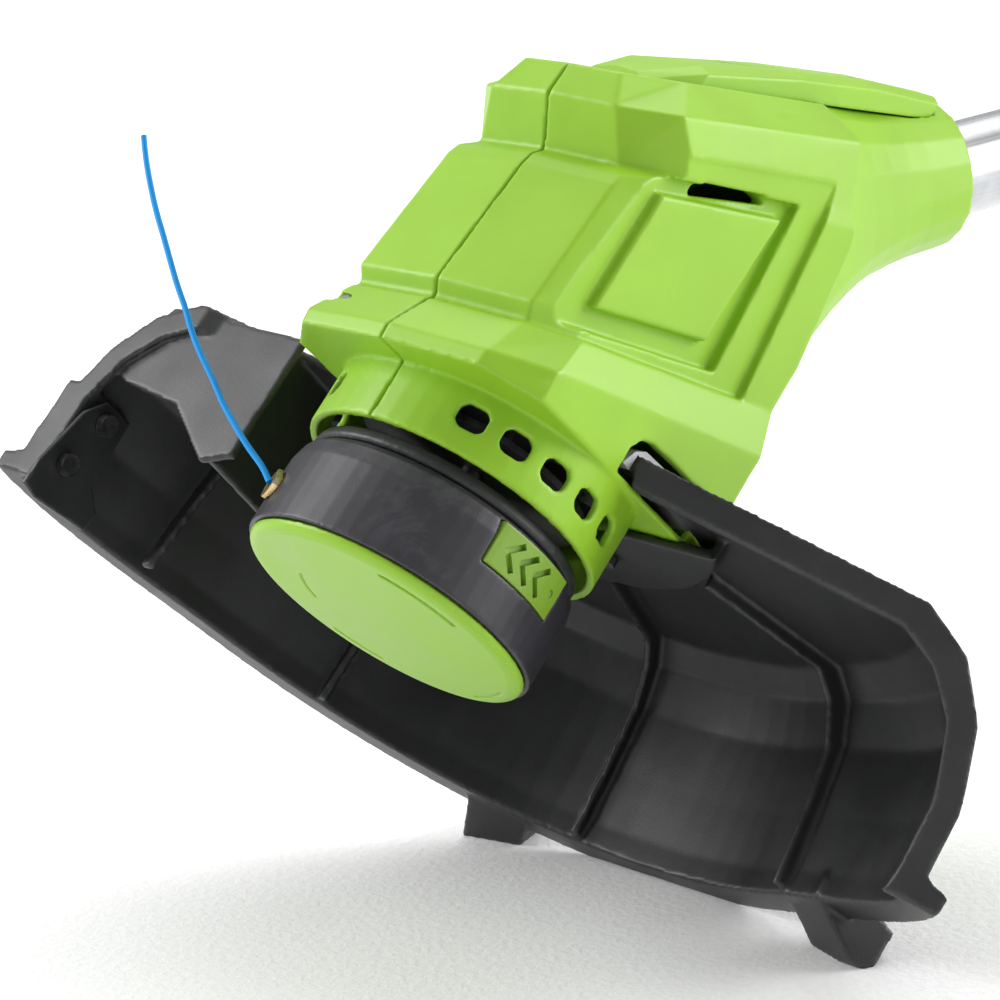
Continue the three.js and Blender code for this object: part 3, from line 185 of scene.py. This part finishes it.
# %% [markdown]
# ## Shared effects for the finishes
# Every moulded plastic has a fine spark texture, a slight unevenness of colour, and edges a little paler
# where the light catches and handling polishes them. Each effect is one node group with named sockets, so a
# material only says how much of it it has. Shaders stay in the materials themselves.

# %% A helper that adds one shader node and sets its values
def shader(tree, kind, **values):
    made = tree.nodes.new("ShaderNode" + kind)
    for name, value in values.items():
        if name in made.bl_rna.properties:
            setattr(made, name, value)
        else:
            made.inputs[name.replace("_", " ")].default_value = value
    return made


def link(tree, source, output, target, entry):
    tree.links.new(source.outputs[output], target.inputs[entry])


def effect(name, inputs, outputs):
    group = bpy.data.node_groups.new(name, "ShaderNodeTree")
    for socket, kind, value in inputs:
        made = group.interface.new_socket(socket, in_out="INPUT", socket_type="NodeSocket" + kind)
        if value is not None:
            made.default_value = value
    for socket, kind in outputs:
        group.interface.new_socket(socket, in_out="OUTPUT", socket_type="NodeSocket" + kind)
    return group, group.nodes.new("NodeGroupInput"), group.nodes.new("NodeGroupOutput")


# %% [markdown]
# ## Moulded grain
# A spark-eroded mould leaves its plastic finely grained, and the colour is never quite even. A picture of
# the grain would show its seams on a curved casing, so two noises in the piece's own space are used: a
# broad one that drifts the colour and the gloss, and a fine one that is only height.

# %% Moulded grain: colour drift, spark texture and a matching roughness
grain, entry, out = effect(
    "moulded grain",
    [("Colour", "Color", (0.5, 0.5, 0.5, 1)), ("Drift", "Float", 0.08), ("Size", "Float", 1800.0),
     ("Depth", "Float", 0.1), ("Gloss low", "Float", 0.3), ("Gloss high", "Float", 0.45)],
    [("Colour", "Color"), ("Roughness", "Float"), ("Normal", "Vector")],
)
place = shader(grain, "TexCoord")
broad = shader(grain, "TexNoise", Scale=34.0, Detail=4.0, Roughness=0.6)
fine = shader(grain, "TexNoise", Detail=2.0, Roughness=0.55)
shift = shader(grain, "MapRange", From_Min=0.3, From_Max=0.7)
darkest = shader(grain, "Math", operation="SUBTRACT")
darkest.inputs[0].default_value = 1.0
palest = shader(grain, "Math", operation="ADD")
palest.inputs[0].default_value = 1.0
tint = shader(grain, "HueSaturation")
gloss = shader(grain, "MapRange", From_Min=0.3, From_Max=0.7)
bump = shader(grain, "Bump", Distance=0.0002)
link(grain, place, "Object", broad, "Vector")
link(grain, place, "Object", fine, "Vector")
link(grain, entry, "Size", fine, "Scale")
link(grain, broad, "Fac", shift, "Value")
link(grain, entry, "Drift", darkest, 1)
link(grain, entry, "Drift", palest, 1)
link(grain, darkest, "Value", shift, "To Min")
link(grain, palest, "Value", shift, "To Max")
link(grain, shift, "Result", tint, "Value")
link(grain, entry, "Colour", tint, "Color")
link(grain, broad, "Fac", gloss, "Value")
link(grain, entry, "Gloss low", gloss, "To Min")
link(grain, entry, "Gloss high", gloss, "To Max")
link(grain, fine, "Fac", bump, "Height")
link(grain, entry, "Depth", bump, "Strength")
link(grain, tint, "Color", out, "Colour")
link(grain, gloss, "Result", out, "Roughness")
link(grain, bump, "Normal", out, "Normal")
print("moulded grain has", len(grain.nodes), "nodes")

# %% [markdown]
# ## Edge wear with a painted highlight, and scuffs
# Handling rubs a moulding's edges paler, and the same pale edge also stands in as a painted highlight where
# light would catch it. Grass leaves dry pale smears on whatever spins. Both are a second colour laid over the
# first, so one helper does the laying. Wear could be painted by hand, but the surface's own sharpness already
# knows where the edges are. Scuffs need no edge, only two noises that agree.

# %% A helper that lays a second colour over the first where two masks agree
COLOUR_UNDER = 6
COLOUR_OVER = 7
MIXED_COLOUR = 2


def lay_over(tree, entry, out, first_mask, second_mask, second_colour):
    both = shader(tree, "Math", operation="MULTIPLY")
    scaled = shader(tree, "Math", operation="MULTIPLY")
    mix = shader(tree, "Mix", data_type="RGBA")
    link(tree, first_mask, "Result", both, 0)
    link(tree, second_mask, "Result", both, 1)
    link(tree, both, "Value", scaled, 0)
    link(tree, entry, "Amount", scaled, 1)
    link(tree, scaled, "Value", mix, "Factor")
    link(tree, entry, "Colour", mix, COLOUR_UNDER)
    link(tree, entry, second_colour, mix, COLOUR_OVER)
    link(tree, mix, MIXED_COLOUR, out, "Colour")
    link(tree, scaled, "Value", out, "Mask")


# %% Edge wear and a painted highlight: paler edges, part polished and part painted light, found from the surface's own sharpness
wear_and_highlight, entry, out = effect(
    "edge wear and painted highlight",
    [("Colour", "Color", (0.5, 0.5, 0.5, 1)), ("Worn colour", "Color", (0.8, 0.8, 0.8, 1)),
     ("Amount", "Float", 0.3)],
    [("Colour", "Color"), ("Mask", "Float")],
)
surface = shader(wear_and_highlight, "NewGeometry")
place = shader(wear_and_highlight, "TexCoord")
patch = shader(wear_and_highlight, "TexNoise", Scale=90.0, Detail=5.0, Roughness=0.65)
edge = shader(wear_and_highlight, "MapRange", From_Min=0.5, From_Max=0.62)
broken = shader(wear_and_highlight, "MapRange", From_Min=0.38, From_Max=0.62)
link(wear_and_highlight, surface, "Pointiness", edge, "Value")
link(wear_and_highlight, place, "Object", patch, "Vector")
link(wear_and_highlight, patch, "Fac", broken, "Value")
# The pale edge laid here is partly wear and partly a painted highlight.
lay_over(wear_and_highlight, entry, out, edge, broken, "Worn colour")
print("edge wear and painted highlight has", len(wear_and_highlight.nodes), "nodes")

# %% Scuffs: pale dry smears, as on a drum that has brushed through grass
scuff, entry, out = effect(
    "scuffs",
    [("Colour", "Color", (0.5, 0.5, 0.5, 1)), ("Scuff colour", "Color", (0.3, 0.3, 0.3, 1)),
     ("Amount", "Float", 0.4), ("Size", "Float", 60.0)],
    [("Colour", "Color"), ("Mask", "Float")],
)
place = shader(scuff, "TexCoord")
smear = shader(scuff, "TexNoise", Detail=8.0, Roughness=0.72, Distortion=0.6)
spread = shader(scuff, "TexNoise", Scale=26.0, Detail=2.0)
thin = shader(scuff, "MapRange", From_Min=0.5, From_Max=0.74)
where = shader(scuff, "MapRange", From_Min=0.42, From_Max=0.66)
link(scuff, place, "Object", smear, "Vector")
link(scuff, place, "Object", spread, "Vector")
link(scuff, entry, "Size", smear, "Scale")
link(scuff, smear, "Fac", thin, "Value")
link(scuff, spread, "Fac", where, "Value")
lay_over(scuff, entry, out, thin, where, "Scuff colour")
print("scuffs has", len(scuff.nodes), "nodes")

# %% [markdown]
# ## Drawn lines
# A tube is pulled through a die, which leaves fine streaks along its length. An anisotropic shader could
# show them, but it can't be carried along with the finished model. A noise stretched along the shaft's own
# direction gives the streaks as colour, gloss and height, which can.

# %% Drawn lines: long fine streaks along the shaft
drawn, entry, out = effect(
    "drawn lines",
    [("Colour", "Color", (0.8, 0.8, 0.8, 1)), ("Gloss low", "Float", 0.12), ("Gloss high", "Float", 0.3),
     ("Depth", "Float", 0.05)],
    [("Colour", "Color"), ("Roughness", "Float"), ("Normal", "Vector")],
)
place = shader(drawn, "TexCoord")
turn = shader(drawn, "Mapping", vector_type="POINT")
turn.inputs["Rotation"].default_value = SHAFT.to_3x3().inverted().to_euler()
stretch = shader(drawn, "Mapping", vector_type="POINT")
stretch.inputs["Scale"].default_value = (900, 900, 4)
streak = shader(drawn, "TexNoise", Scale=1.0, Detail=3.0, Roughness=0.6)
gloss = shader(drawn, "MapRange", From_Min=0.3, From_Max=0.7)
shade = shader(drawn, "MapRange", From_Min=0.3, From_Max=0.7, To_Min=0.9, To_Max=1.06)
tint = shader(drawn, "HueSaturation")
bump = shader(drawn, "Bump", Distance=0.0001)
link(drawn, place, "Object", turn, "Vector")
link(drawn, turn, "Vector", stretch, "Vector")
link(drawn, stretch, "Vector", streak, "Vector")
link(drawn, streak, "Fac", gloss, "Value")
link(drawn, entry, "Gloss low", gloss, "To Min")
link(drawn, entry, "Gloss high", gloss, "To Max")
link(drawn, streak, "Fac", shade, "Value")
link(drawn, shade, "Result", tint, "Value")
link(drawn, entry, "Colour", tint, "Color")
link(drawn, streak, "Fac", bump, "Height")
link(drawn, entry, "Depth", bump, "Strength")
link(drawn, tint, "Color", out, "Colour")
link(drawn, gloss, "Result", out, "Roughness")
link(drawn, bump, "Normal", out, "Normal")
print("drawn lines has", len(drawn.nodes), "nodes")

# %% [markdown]
# ## The finishes
# Each finish is one Principled shader. What is the same all over is set on its own sockets, and what
# changes over the surface comes from the groups above.

# %% Helpers for a plastic and for a metal
def new_finish(name, **sockets):
    material = bpy.data.materials.new(name)
    material.use_nodes = True
    principled = material.node_tree.nodes["Principled BSDF"]
    for socket, value in sockets.items():
        principled.inputs[socket.replace("_", " ")].default_value = value
    return material, material.node_tree, principled


def group_node(tree, group, **values):
    made = tree.nodes.new("ShaderNodeGroup")
    made.node_tree = group
    for name, value in values.items():
        made.inputs[name.replace("_", " ")].default_value = value
    return made


def moulded_plastic(name, colour, worn_and_highlight, wear_and_highlight_amount, gloss, size=1800.0, depth=0.1, drift=0.06,
                    scuffed=0.0, scuff_colour=(0.3, 0.3, 0.3, 1), **sockets):
    material, tree, principled = new_finish(name, **sockets)
    base = group_node(tree, grain, Colour=colour, Drift=drift, Size=size, Depth=depth,
                      Gloss_low=gloss[0], Gloss_high=gloss[1])
    # The paler edges are wear and a painted highlight together.
    worn_and_highlighted = group_node(tree, wear_and_highlight, Worn_colour=worn_and_highlight, Amount=wear_and_highlight_amount)
    smeared = group_node(tree, scuff, Scuff_colour=scuff_colour, Amount=scuffed)
    link(tree, base, "Colour", worn_and_highlighted, "Colour")
    link(tree, worn_and_highlighted, "Colour", smeared, "Colour")
    link(tree, smeared, "Colour", principled, "Base Color")
    link(tree, base, "Roughness", principled, "Roughness")
    link(tree, base, "Normal", principled, "Normal")
    return material


def bare_metal(name, colour, gloss, depth=0.05, **sockets):
    material, tree, principled = new_finish(name, Metallic=1.0, **sockets)
    base = group_node(tree, drawn, Colour=colour, Gloss_low=gloss[0], Gloss_high=gloss[1], Depth=depth)
    # On bare metal the near-white edges are a painted highlight, with some wear.
    worn_and_highlighted = group_node(tree, wear_and_highlight, Worn_colour=(0.95, 0.95, 0.95, 1), Amount=0.3)
    link(tree, base, "Colour", worn_and_highlighted, "Colour")
    link(tree, worn_and_highlighted, "Colour", principled, "Base Color")
    link(tree, base, "Roughness", principled, "Roughness")
    link(tree, base, "Normal", principled, "Normal")
    return material


# %% [markdown]
# ## Which piece wears which finish
# The casing is lime, the skirt black, the drum graphite and the grips soft. The frame names a finish for
# every part, so the finishes are kept under those names and each piece looks its own up. Giving materials
# to pieces one by one would work too, but two pieces of one moulding could then drift apart.

# %% The finishes themselves
# The second colour of each plastic is its pale edge: wear and a painted highlight.
lime = moulded_plastic("lime moulding", (0.255, 0.485, 0.022, 1), (0.5, 0.72, 0.2, 1), 0.2,
                       (0.34, 0.46), depth=0.12, drift=0.05, Specular_IOR_Level=0.4)
deep_lime = moulded_plastic("deep lime moulding", (0.17, 0.31, 0.02, 1), (0.36, 0.56, 0.12, 1), 0.3,
                            (0.36, 0.5), depth=0.15)
black = moulded_plastic("black moulding", (0.018, 0.018, 0.02, 1), (0.12, 0.12, 0.125, 1), 0.5,
                        (0.36, 0.52), depth=0.2, drift=0.15, scuffed=0.25,
                        scuff_colour=(0.06, 0.06, 0.065, 1))
graphite = moulded_plastic("graphite moulding", (0.022, 0.021, 0.026, 1), (0.16, 0.155, 0.17, 1), 0.35,
                           (0.36, 0.5), depth=0.15, drift=0.12, scuffed=0.55,
                           scuff_colour=(0.1, 0.095, 0.11, 1))
rubber = moulded_plastic("soft grip", (0.012, 0.012, 0.013, 1), (0.06, 0.06, 0.06, 1), 0.4,
                         (0.6, 0.78), size=900.0, depth=0.5, drift=0.2)
grey = moulded_plastic("grey moulding", (0.42, 0.42, 0.45, 1), (0.7, 0.7, 0.7, 1), 0.2, (0.4, 0.55))
nylon = moulded_plastic("blue nylon", (0.0, 0.26, 0.68, 1), (0.2, 0.5, 0.9, 1), 0.0, (0.4, 0.5),
                        size=2600.0, depth=0.08, drift=0.05, Specular_IOR_Level=0.25)
aluminium = bare_metal("drawn aluminium", (0.5, 0.51, 0.53, 1), (0.24, 0.36))
steel = bare_metal("plain steel", (0.56, 0.57, 0.58, 1), (0.22, 0.36))
dark_steel = bare_metal("blackened steel", (0.12, 0.12, 0.13, 1), (0.3, 0.45))
brass = bare_metal("brass", (0.75, 0.55, 0.25, 1), (0.2, 0.34))
copper = bare_metal("lacquered copper", (0.5, 0.22, 0.1, 1), (0.3, 0.42))
FINISHES = {
    "lime_plastic": lime, "deep_lime_plastic": deep_lime, "black_plastic": black,
    "graphite_plastic": graphite, "grip_rubber": rubber, "steel": steel, "dark_steel": dark_steel,
    "tube_aluminium": aluminium, "brass": brass, "blue_nylon": nylon, "grey_plastic": grey,
    "copper_end": copper,
}
node_slot = {part["node"]: part["material_slot"] for part in frame["record"]["subparts"]}
node_body = {n: b for b, names in frame["record"]["behaviour"]["bodies"].items() for n in names}
cutting_line.data.materials.append(nylon)
alone(cutting_line)
bpy.ops.object.shade_smooth_by_angle(angle=math.radians(40))
print("finishes:", len(FINISHES))

# %% [markdown]
# ## The floor's finish
# A matt pale sheet. Pure white would lose the shadows that hold the trimmer down, so a very fine noise
# moves it between two near whites and gives it a trace of tooth.

# %% The floor's finish: pale, very slightly uneven
paper, tree, principled = new_finish("paper floor", Roughness=0.9)
principled.inputs["Specular IOR Level"].default_value = 0.1
place = shader(tree, "TexCoord")
fibre = shader(tree, "TexNoise", Scale=420.0, Detail=4.0, Roughness=0.6)
rise = shader(tree, "Bump", Strength=0.35, Distance=0.001)
shade = shader(tree, "MapRange", From_Min=0.3, From_Max=0.7, To_Min=0.9, To_Max=0.96)
link(tree, place, "Object", fibre, "Vector")
link(tree, fibre, "Fac", shade, "Value")
link(tree, shade, "Result", principled, "Base Color")
link(tree, fibre, "Fac", rise, "Height")
link(tree, rise, "Normal", principled, "Normal")
floor.data.materials.append(paper)
print("floor finish:", paper.name)

# %% [markdown]
# ## Working helpers
# The frame's parts have the true shape with sharp moulding edges. A real moulding has a small radius on
# every edge. A bevel would do it, but these meshes come from many cuts and a bevel trips on their slivers,
# so a copy is rebuilt from small voxels and relaxed, which rounds every edge alike.

# %% Apply a modifier, place a finished piece, let it stand for a part of the frame
def apply(piece, kind, **settings):
    alone(piece)
    modifier = piece.modifiers.new(kind.lower(), kind)
    for name, value in settings.items():
        setattr(modifier, name, value)
    bpy.ops.object.modifier_apply(modifier=modifier.name)


def settle(piece, place):
    piece.matrix_world = place @ piece.matrix_world
    alone(piece)
    bpy.ops.object.transform_apply(location=True, rotation=True, scale=True)


def stands_for(piece, node, *others):
    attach(piece, node_body[node])
    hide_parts(node, *others)
    piece.data.materials.clear()
    piece.data.materials.append(FINISHES[node_slot[node]])


# %% A merged copy of a part of the frame
def copy_of(node, name):
    source = frame["nodes"][node]
    piece = bpy.data.objects.new(name, source.data.copy())
    bpy.context.scene.collection.objects.link(piece)
    alone(piece)
    bpy.ops.object.mode_set(mode="EDIT")
    bpy.ops.mesh.select_all(action="SELECT")
    bpy.ops.mesh.remove_doubles(threshold=0.01 * MM)
    bpy.ops.object.mode_set(mode="OBJECT")
    return piece


# %% Carve a piece, and soften its edges as a mould does
MOST_FACES = 90000


def carve(piece, tools):
    for tool in tools:
        apply(piece, "BOOLEAN", operation="DIFFERENCE", solver="EXACT", object=tool)
        bpy.data.objects.remove(tool)


def soften(piece, voxel, relax, most):
    apply(piece, "REMESH", mode="VOXEL", voxel_size=voxel * MM)
    apply(piece, "SMOOTH", factor=0.5, iterations=relax)
    if len(piece.data.polygons) > most:
        apply(piece, "DECIMATE", ratio=most / len(piece.data.polygons))
    alone(piece)
    bpy.ops.object.shade_smooth()


def moulded(node, name, voxel, relax, most=MOST_FACES, tools=()):
    piece = copy_of(node, name)
    carve(piece, tools)
    soften(piece, voxel, relax, most)
    stands_for(piece, node)
    print(name, len(piece.data.polygons), "faces")
    return piece


# %% [markdown]
# ## Turned shapes
# The cap, the tubes and the drive ring are all round about one axis. A ring of edges is drawn as a circle,
# then extruded and resized once for each step of the profile, as a turner would take one cut after another.

# %% Turn a closed profile of (radius, level) steps about an axis
def turned(name, profile, place, segments=128):
    bpy.ops.object.select_all(action="DESELECT")
    first, start = profile[0]
    bpy.ops.mesh.primitive_circle_add(vertices=segments, radius=first * MM, location=(0, 0, start * MM))
    piece = bpy.context.object
    piece.name = name
    bpy.ops.object.transform_apply(location=True, rotation=True, scale=True)
    bpy.ops.object.mode_set(mode="EDIT")
    bpy.ops.mesh.select_all(action="SELECT")
    for (radius, level), (wider, higher) in zip(profile, [*profile[1:], profile[0]]):
        rise = {"value": (0, 0, (higher - level) * MM)}
        growth = wider / radius
        bpy.ops.mesh.extrude_region_move(TRANSFORM_OT_translate=rise)
        bpy.ops.transform.resize(value=(growth, growth, 1), center_override=(0, 0, higher * MM))
    bpy.ops.mesh.select_all(action="SELECT")
    bpy.ops.mesh.remove_doubles(threshold=0.005 * MM)
    bpy.ops.mesh.normals_make_consistent(inside=False)
    bpy.ops.object.mode_set(mode="OBJECT")
    settle(piece, place)
    return piece


# %% [markdown]
# ## The spool cap
# A lime disc with a soft rim snaps into the drum. It carries a sunk grip bar and a few thin arcs.
# The marks could be drawn in a texture, but they are cut for real, as short spins of a small oblong about
# the spindle, so that they catch the light. Cutting leaves thin slivers on the flat face, and softening the
# whole cap afterwards clears them.

# %% Tools for the marks: a small oblong spun about the spindle
def close_ends(tool):
    alone(tool)
    bpy.ops.object.mode_set(mode="EDIT")
    bpy.ops.mesh.select_all(action="SELECT")
    bpy.ops.mesh.remove_doubles(threshold=0.002 * MM)
    bpy.ops.mesh.select_all(action="DESELECT")
    bpy.ops.mesh.select_non_manifold()
    bpy.ops.mesh.edge_face_add()
    bpy.ops.mesh.select_all(action="SELECT")
    bpy.ops.mesh.normals_make_consistent(inside=False)
    bpy.ops.object.mode_set(mode="OBJECT")


def arc_tool(name, radius, width, depth, start, end, place):
    bpy.ops.object.select_all(action="DESELECT")
    bpy.ops.mesh.primitive_plane_add(size=1, location=(radius * MM, 0, 0), rotation=(math.pi / 2, 0, 0))
    tool = bpy.context.object
    tool.name = name
    tool.scale = (width * MM, depth * MM, 1)
    bpy.ops.object.transform_apply(location=True, rotation=True, scale=True)
    bpy.ops.object.mode_set(mode="EDIT")
    bpy.ops.mesh.select_all(action="SELECT")
    bpy.ops.mesh.spin(steps=18, angle=math.radians(end - start), center=(0, 0, 0), axis=(0, 0, 1))
    bpy.ops.mesh.select_all(action="SELECT")
    bpy.ops.mesh.normals_make_consistent(inside=False)
    bpy.ops.object.mode_set(mode="OBJECT")
    close_ends(tool)
    settle(tool, place @ Matrix.Rotation(math.radians(start), 4, "Z"))
    return tool


# %% The cap, its grip bar and its arcs
CAP_EDGE = 40.4
CAP_THICKNESS = 2.6
SKIRT_OUTER = 39
SKIRT_INNER = 37.4
SKIRT_END = 9
BOSS_RADIUS = 9.5
BOSS_END = 4
PINHOLE = 0.3
cap_profile = [
    (PINHOLE, 0.0), (CAP_EDGE - 3.4, 0.0), (CAP_EDGE - 1.9, 0.25), (CAP_EDGE - 0.8, 0.8),
    (CAP_EDGE - 0.2, 1.5), (CAP_EDGE, 2.5), (SKIRT_OUTER, CAP_THICKNESS), (SKIRT_OUTER, SKIRT_END),
    (SKIRT_INNER, SKIRT_END), (SKIRT_INNER, CAP_THICKNESS), (BOSS_RADIUS, CAP_THICKNESS),
    (BOSS_RADIUS, BOSS_END), (PINHOLE, BOSS_END),
]
cap = turned("cap_face", cap_profile, HEAD)
CAP_MARKS = (  # name, radius, width, height centred on the face, and the angles where it starts and ends
    ("grip_bar", 33, 1.9, 2.0, -16, 25),
    ("left_arc", 24, 0.9, 1.0, -146, -112),
    ("lower_arc", 36, 0.9, 1.0, 74, 102),
    ("far_arc", 34.5, 0.9, 1.0, 150, 176),
)
carve(cap, [arc_tool(*mark, HEAD) for mark in CAP_MARKS])
soften(cap, 0.3, 2, MOST_FACES)
stands_for(cap, "spool_cap")
print("cap:", len(cap.data.polygons), "faces")

# %% [markdown]
# ## The spring latches
# Two lime buttons in the side of the drum let the cap go when they are pressed together. Three arrowheads
# and a dot are sunk into each, to show the way the line is wound. They could be a decal, but on the real
# button they are part of the mould. Each arrowhead is two short strokes that lean against each other, and
# every stroke runs on past the face, so that the cut leaves no skin over it.

# %% Tools for the marks: a stroke and a dot that reach from inside the face to outside it
MARK_FLOOR = 39.7
MARK_TOP = 44
STROKE_LENGTH = 6.0
STROKE_WIDTH = 1.7
STROKE_OFFSET = 1.9
DOT_RADIUS = 1.1


def sunk_stroke(along, lean, place):
    bpy.ops.object.select_all(action="DESELECT")
    bpy.ops.mesh.primitive_cube_add(size=1, location=(0, 0, (MARK_FLOOR + MARK_TOP) / 2 * MM))
    stroke = bpy.context.object
    stroke.name = "stroke"
    stroke.scale = (STROKE_LENGTH * MM, STROKE_WIDTH * MM, (MARK_TOP - MARK_FLOOR) * MM)
    bpy.ops.object.transform_apply(location=True, rotation=True, scale=True)
    turn = Matrix.Rotation(math.radians(lean), 4, "Z")
    side = Matrix.Translation(Vector((along, math.copysign(STROKE_OFFSET, lean), 0)) * MM)
    settle(stroke, place @ side @ turn)
    return stroke


def sunk_dot(along, place):
    bpy.ops.object.select_all(action="DESELECT")
    bpy.ops.mesh.primitive_cylinder_add(vertices=16, radius=DOT_RADIUS * MM,
                                        depth=(MARK_TOP - MARK_FLOOR) * MM,
                                        location=(0, 0, (MARK_FLOOR + MARK_TOP) / 2 * MM))
    dot = bpy.context.object
    dot.name = "dot"
    bpy.ops.object.transform_apply(location=True, rotation=True, scale=True)
    settle(dot, place @ Matrix.Translation((along * MM, 0, 0)))
    return dot


# %% Chevrons and a dot sunk into each latch
CHEVRON_PLACES = (-7.6, -2.2, 3.2)
DOT_PLACE = 9.6
LATCH_MIDDLE = 21.3
LATCH_TURN = -7.5
for number, angle in (("1", LATCH_TURN), ("2", LATCH_TURN + 180)):
    face = moulded("latch_button_" + number, "latch_face_" + number, 0.25, 2)
    turn = math.radians(angle)
    outwards = Vector((math.cos(turn), math.sin(turn), 0))
    around = Vector((-math.sin(turn), math.cos(turn), 0))
    plate = HEAD @ frame_of(around, outwards.cross(around), outwards, Vector((0, 0, LATCH_MIDDLE)) * MM)
    tools = [sunk_stroke(x, lean, plate) for x in CHEVRON_PLACES for lean in (45, -45)]
    tools.append(sunk_dot(DOT_PLACE, plate))
    carve(face, tools)
    alone(face)
    bpy.ops.object.shade_smooth_by_angle(angle=math.radians(40))
    print(face.name, "with", len(tools), "marks")

# %% [markdown]
# ## The motor casing
# Two lime shells that meet on a seam down the front, with a vented collar round the drive, stepped panels
# on the flanks and a socket for the shaft. Modelling them afresh would only repeat what the frame already
# measures, so each shell is a softened copy. Its voxels are much smaller than the panels' steps, which
# therefore stay.

# %% Mould the two shells
moulded("housing_right", "casing_right", 0.6, 5)
moulded("housing_left", "casing_left", 0.6, 5)

# %% [markdown]
# ## The lid
# The long crowned lid closes the seam over the motor, with a shallow oval groove round its crown. The groove
# could be an inset, but the crown's mesh is many thin strips. A turned ring, stretched into an oval and laid
# along the lid's slope, cuts it in one go.

# %% Mould the lid, with a long oval groove round its crown
LID_SLOPE = math.radians(34.2)
OVAL_WIDTH = 0.95
OVAL_LENGTH = 3.3
GROOVE_INNER = 9.4
GROOVE_OUTER = 10.3
GROOVE_FLOOR = -2.6
GROOVE_TOP = 5
lid_along = Vector((0, math.cos(LID_SLOPE), math.sin(LID_SLOPE)))
across_lid = Vector((1, 0, 0))
lid_middle = Vector((0, 22, 199.6)) * MM
lid_place = HEAD @ frame_of(across_lid, lid_along, across_lid.cross(lid_along), lid_middle)
groove_profile = [(GROOVE_INNER, GROOVE_FLOOR), (GROOVE_OUTER, GROOVE_FLOOR), (GROOVE_OUTER, GROOVE_TOP),
                  (GROOVE_INNER, GROOVE_TOP)]
groove = turned("lid_groove", groove_profile, Matrix(), 96)
settle(groove, lid_place @ Matrix.Diagonal((OVAL_WIDTH, OVAL_LENGTH, 1, 1)))
moulded("top_cover", "casing_lid", 0.45, 3, tools=[groove])

# %% [markdown]
# ## The guard
# A thin black skirt that keeps the line and the grass away from the user. It is one moulding with ribs
# inside and a flange along each end. A bevel would give a lighter mesh, but this one has many slivers where
# its ribs join. Voxels as coarse as its wall would leave holes, so they are kept well below that.

# %% Mould the guard
moulded("guard", "guard_skirt", 0.75, 4)

# %% [markdown]
# ## The drum and the drive ring
# Both are graphite mouldings. They could be turned like the cap, but the drum has windows for its latches
# and a hole for its eyelet, so they are softened copies. The holder at the guard's far end is small and
# chunky and takes the same treatment.

# %% Mould the drum, the ring and the cutter's holder
moulded("spool_drum", "drum_shell", 0.45, 4, most=80000)
moulded("drive_disc", "drive_ring", 0.45, 4, most=60000)
moulded("line_cutter", "cutter_holder", 0.4, 3, most=40000)

# %% [markdown]
# ## The tubes
# Two aluminium tubes, the lower sliding in the upper. They are turned afresh with a finer circle, so that
# the reflections run along them without facets.

# %% Turn the tubes, measured from the frame
TUBE_WALL = 1.2
END_BREAK = 0.4


def tube_of(node, name):
    points = [SHAFT.inverted() @ vertex.co for vertex in frame["nodes"][node].data.vertices]
    start = min(point.z for point in points) / MM
    end = max(point.z for point in points) / MM
    outer = max(math.hypot(point.x, point.y) for point in points) / MM
    inner = outer - TUBE_WALL
    profile = [(outer - END_BREAK, start), (outer, start + END_BREAK), (outer, end - END_BREAK),
               (outer - END_BREAK, end), (inner, end), (inner, start)]
    piece = turned(name, profile, SHAFT, 96)
    alone(piece)
    bpy.ops.object.shade_smooth_by_angle(angle=math.radians(30))
    stands_for(piece, node)
    print(name, "radius", round(outer, 2), "from", round(start), "to", round(end))


tube_of("lower_tube", "inner_tube")
tube_of("upper_tube", "outer_tube")

# %% [markdown]
# ## The rear of the trimmer
# The two handle shells with their trigger, the battery behind them, the hand loop and the two clamps on
# the shaft. All are mouldings, so they are softened copies too, where modelling each of them again would
# only risk a misfit. Large pieces take voxels of about a millimetre and small ones take half of that,
# which keeps the meshes light.

# %% Mould the handle's two shells
moulded("handle_right", "handle_shell_right", 1.0, 5, most=60000)
moulded("handle_left", "handle_shell_left", 1.0, 5, most=60000)

# %% Mould the hand loop and the clamps
moulded("aux_handle", "hand_loop", 1.2, 6)
moulded("aux_clamp", "loop_clamp", 0.7, 3)
moulded("aux_knob", "loop_knob", 0.5, 4, most=40000)
moulded("clamp_body", "shaft_clamp", 0.8, 4)
moulded("clamp_lever", "shaft_lever", 0.6, 4)

# %% Mould what the fingers press, and the battery
moulded("trigger", "trigger_blade", 0.5, 4, most=40000)
moulded("lock_off_button", "lock_button", 0.5, 3, most=30000)
moulded("battery_pack", "battery_case", 1.1, 4)
moulded("battery_latch_1", "battery_button_near", 0.5, 3, most=30000)
moulded("battery_latch_2", "battery_button_far", 0.5, 3, most=30000)

# %% [markdown]
# ## Everything else
# Screws, motor, fan, spool, springs and leads are mostly hidden, and are shown as the frame has them. They
# could be left in one grey, but the eyelet and the pins are in plain sight, so each gets its finish and
# smooth shading up to the angle of a real edge.

# %% Give every part that is still shown its finish
plain_parts = [name for name, node in frame["nodes"].items() if not node.hide_render]
for name in plain_parts:
    node = frame["nodes"][name]
    node.data.materials.clear()
    node.data.materials.append(FINISHES[node_slot[name]])
    alone(node)
    bpy.ops.object.shade_smooth_by_angle(angle=math.radians(32))
print("parts shown as the frame has them:", len(plain_parts))

# %% [markdown]
# ## Handing over
# The selection is cleared and the scene brought up to date, so that it is handed over as it stands.

# %% Hand over
bpy.ops.object.select_all(action="DESELECT")
bpy.context.view_layer.update()
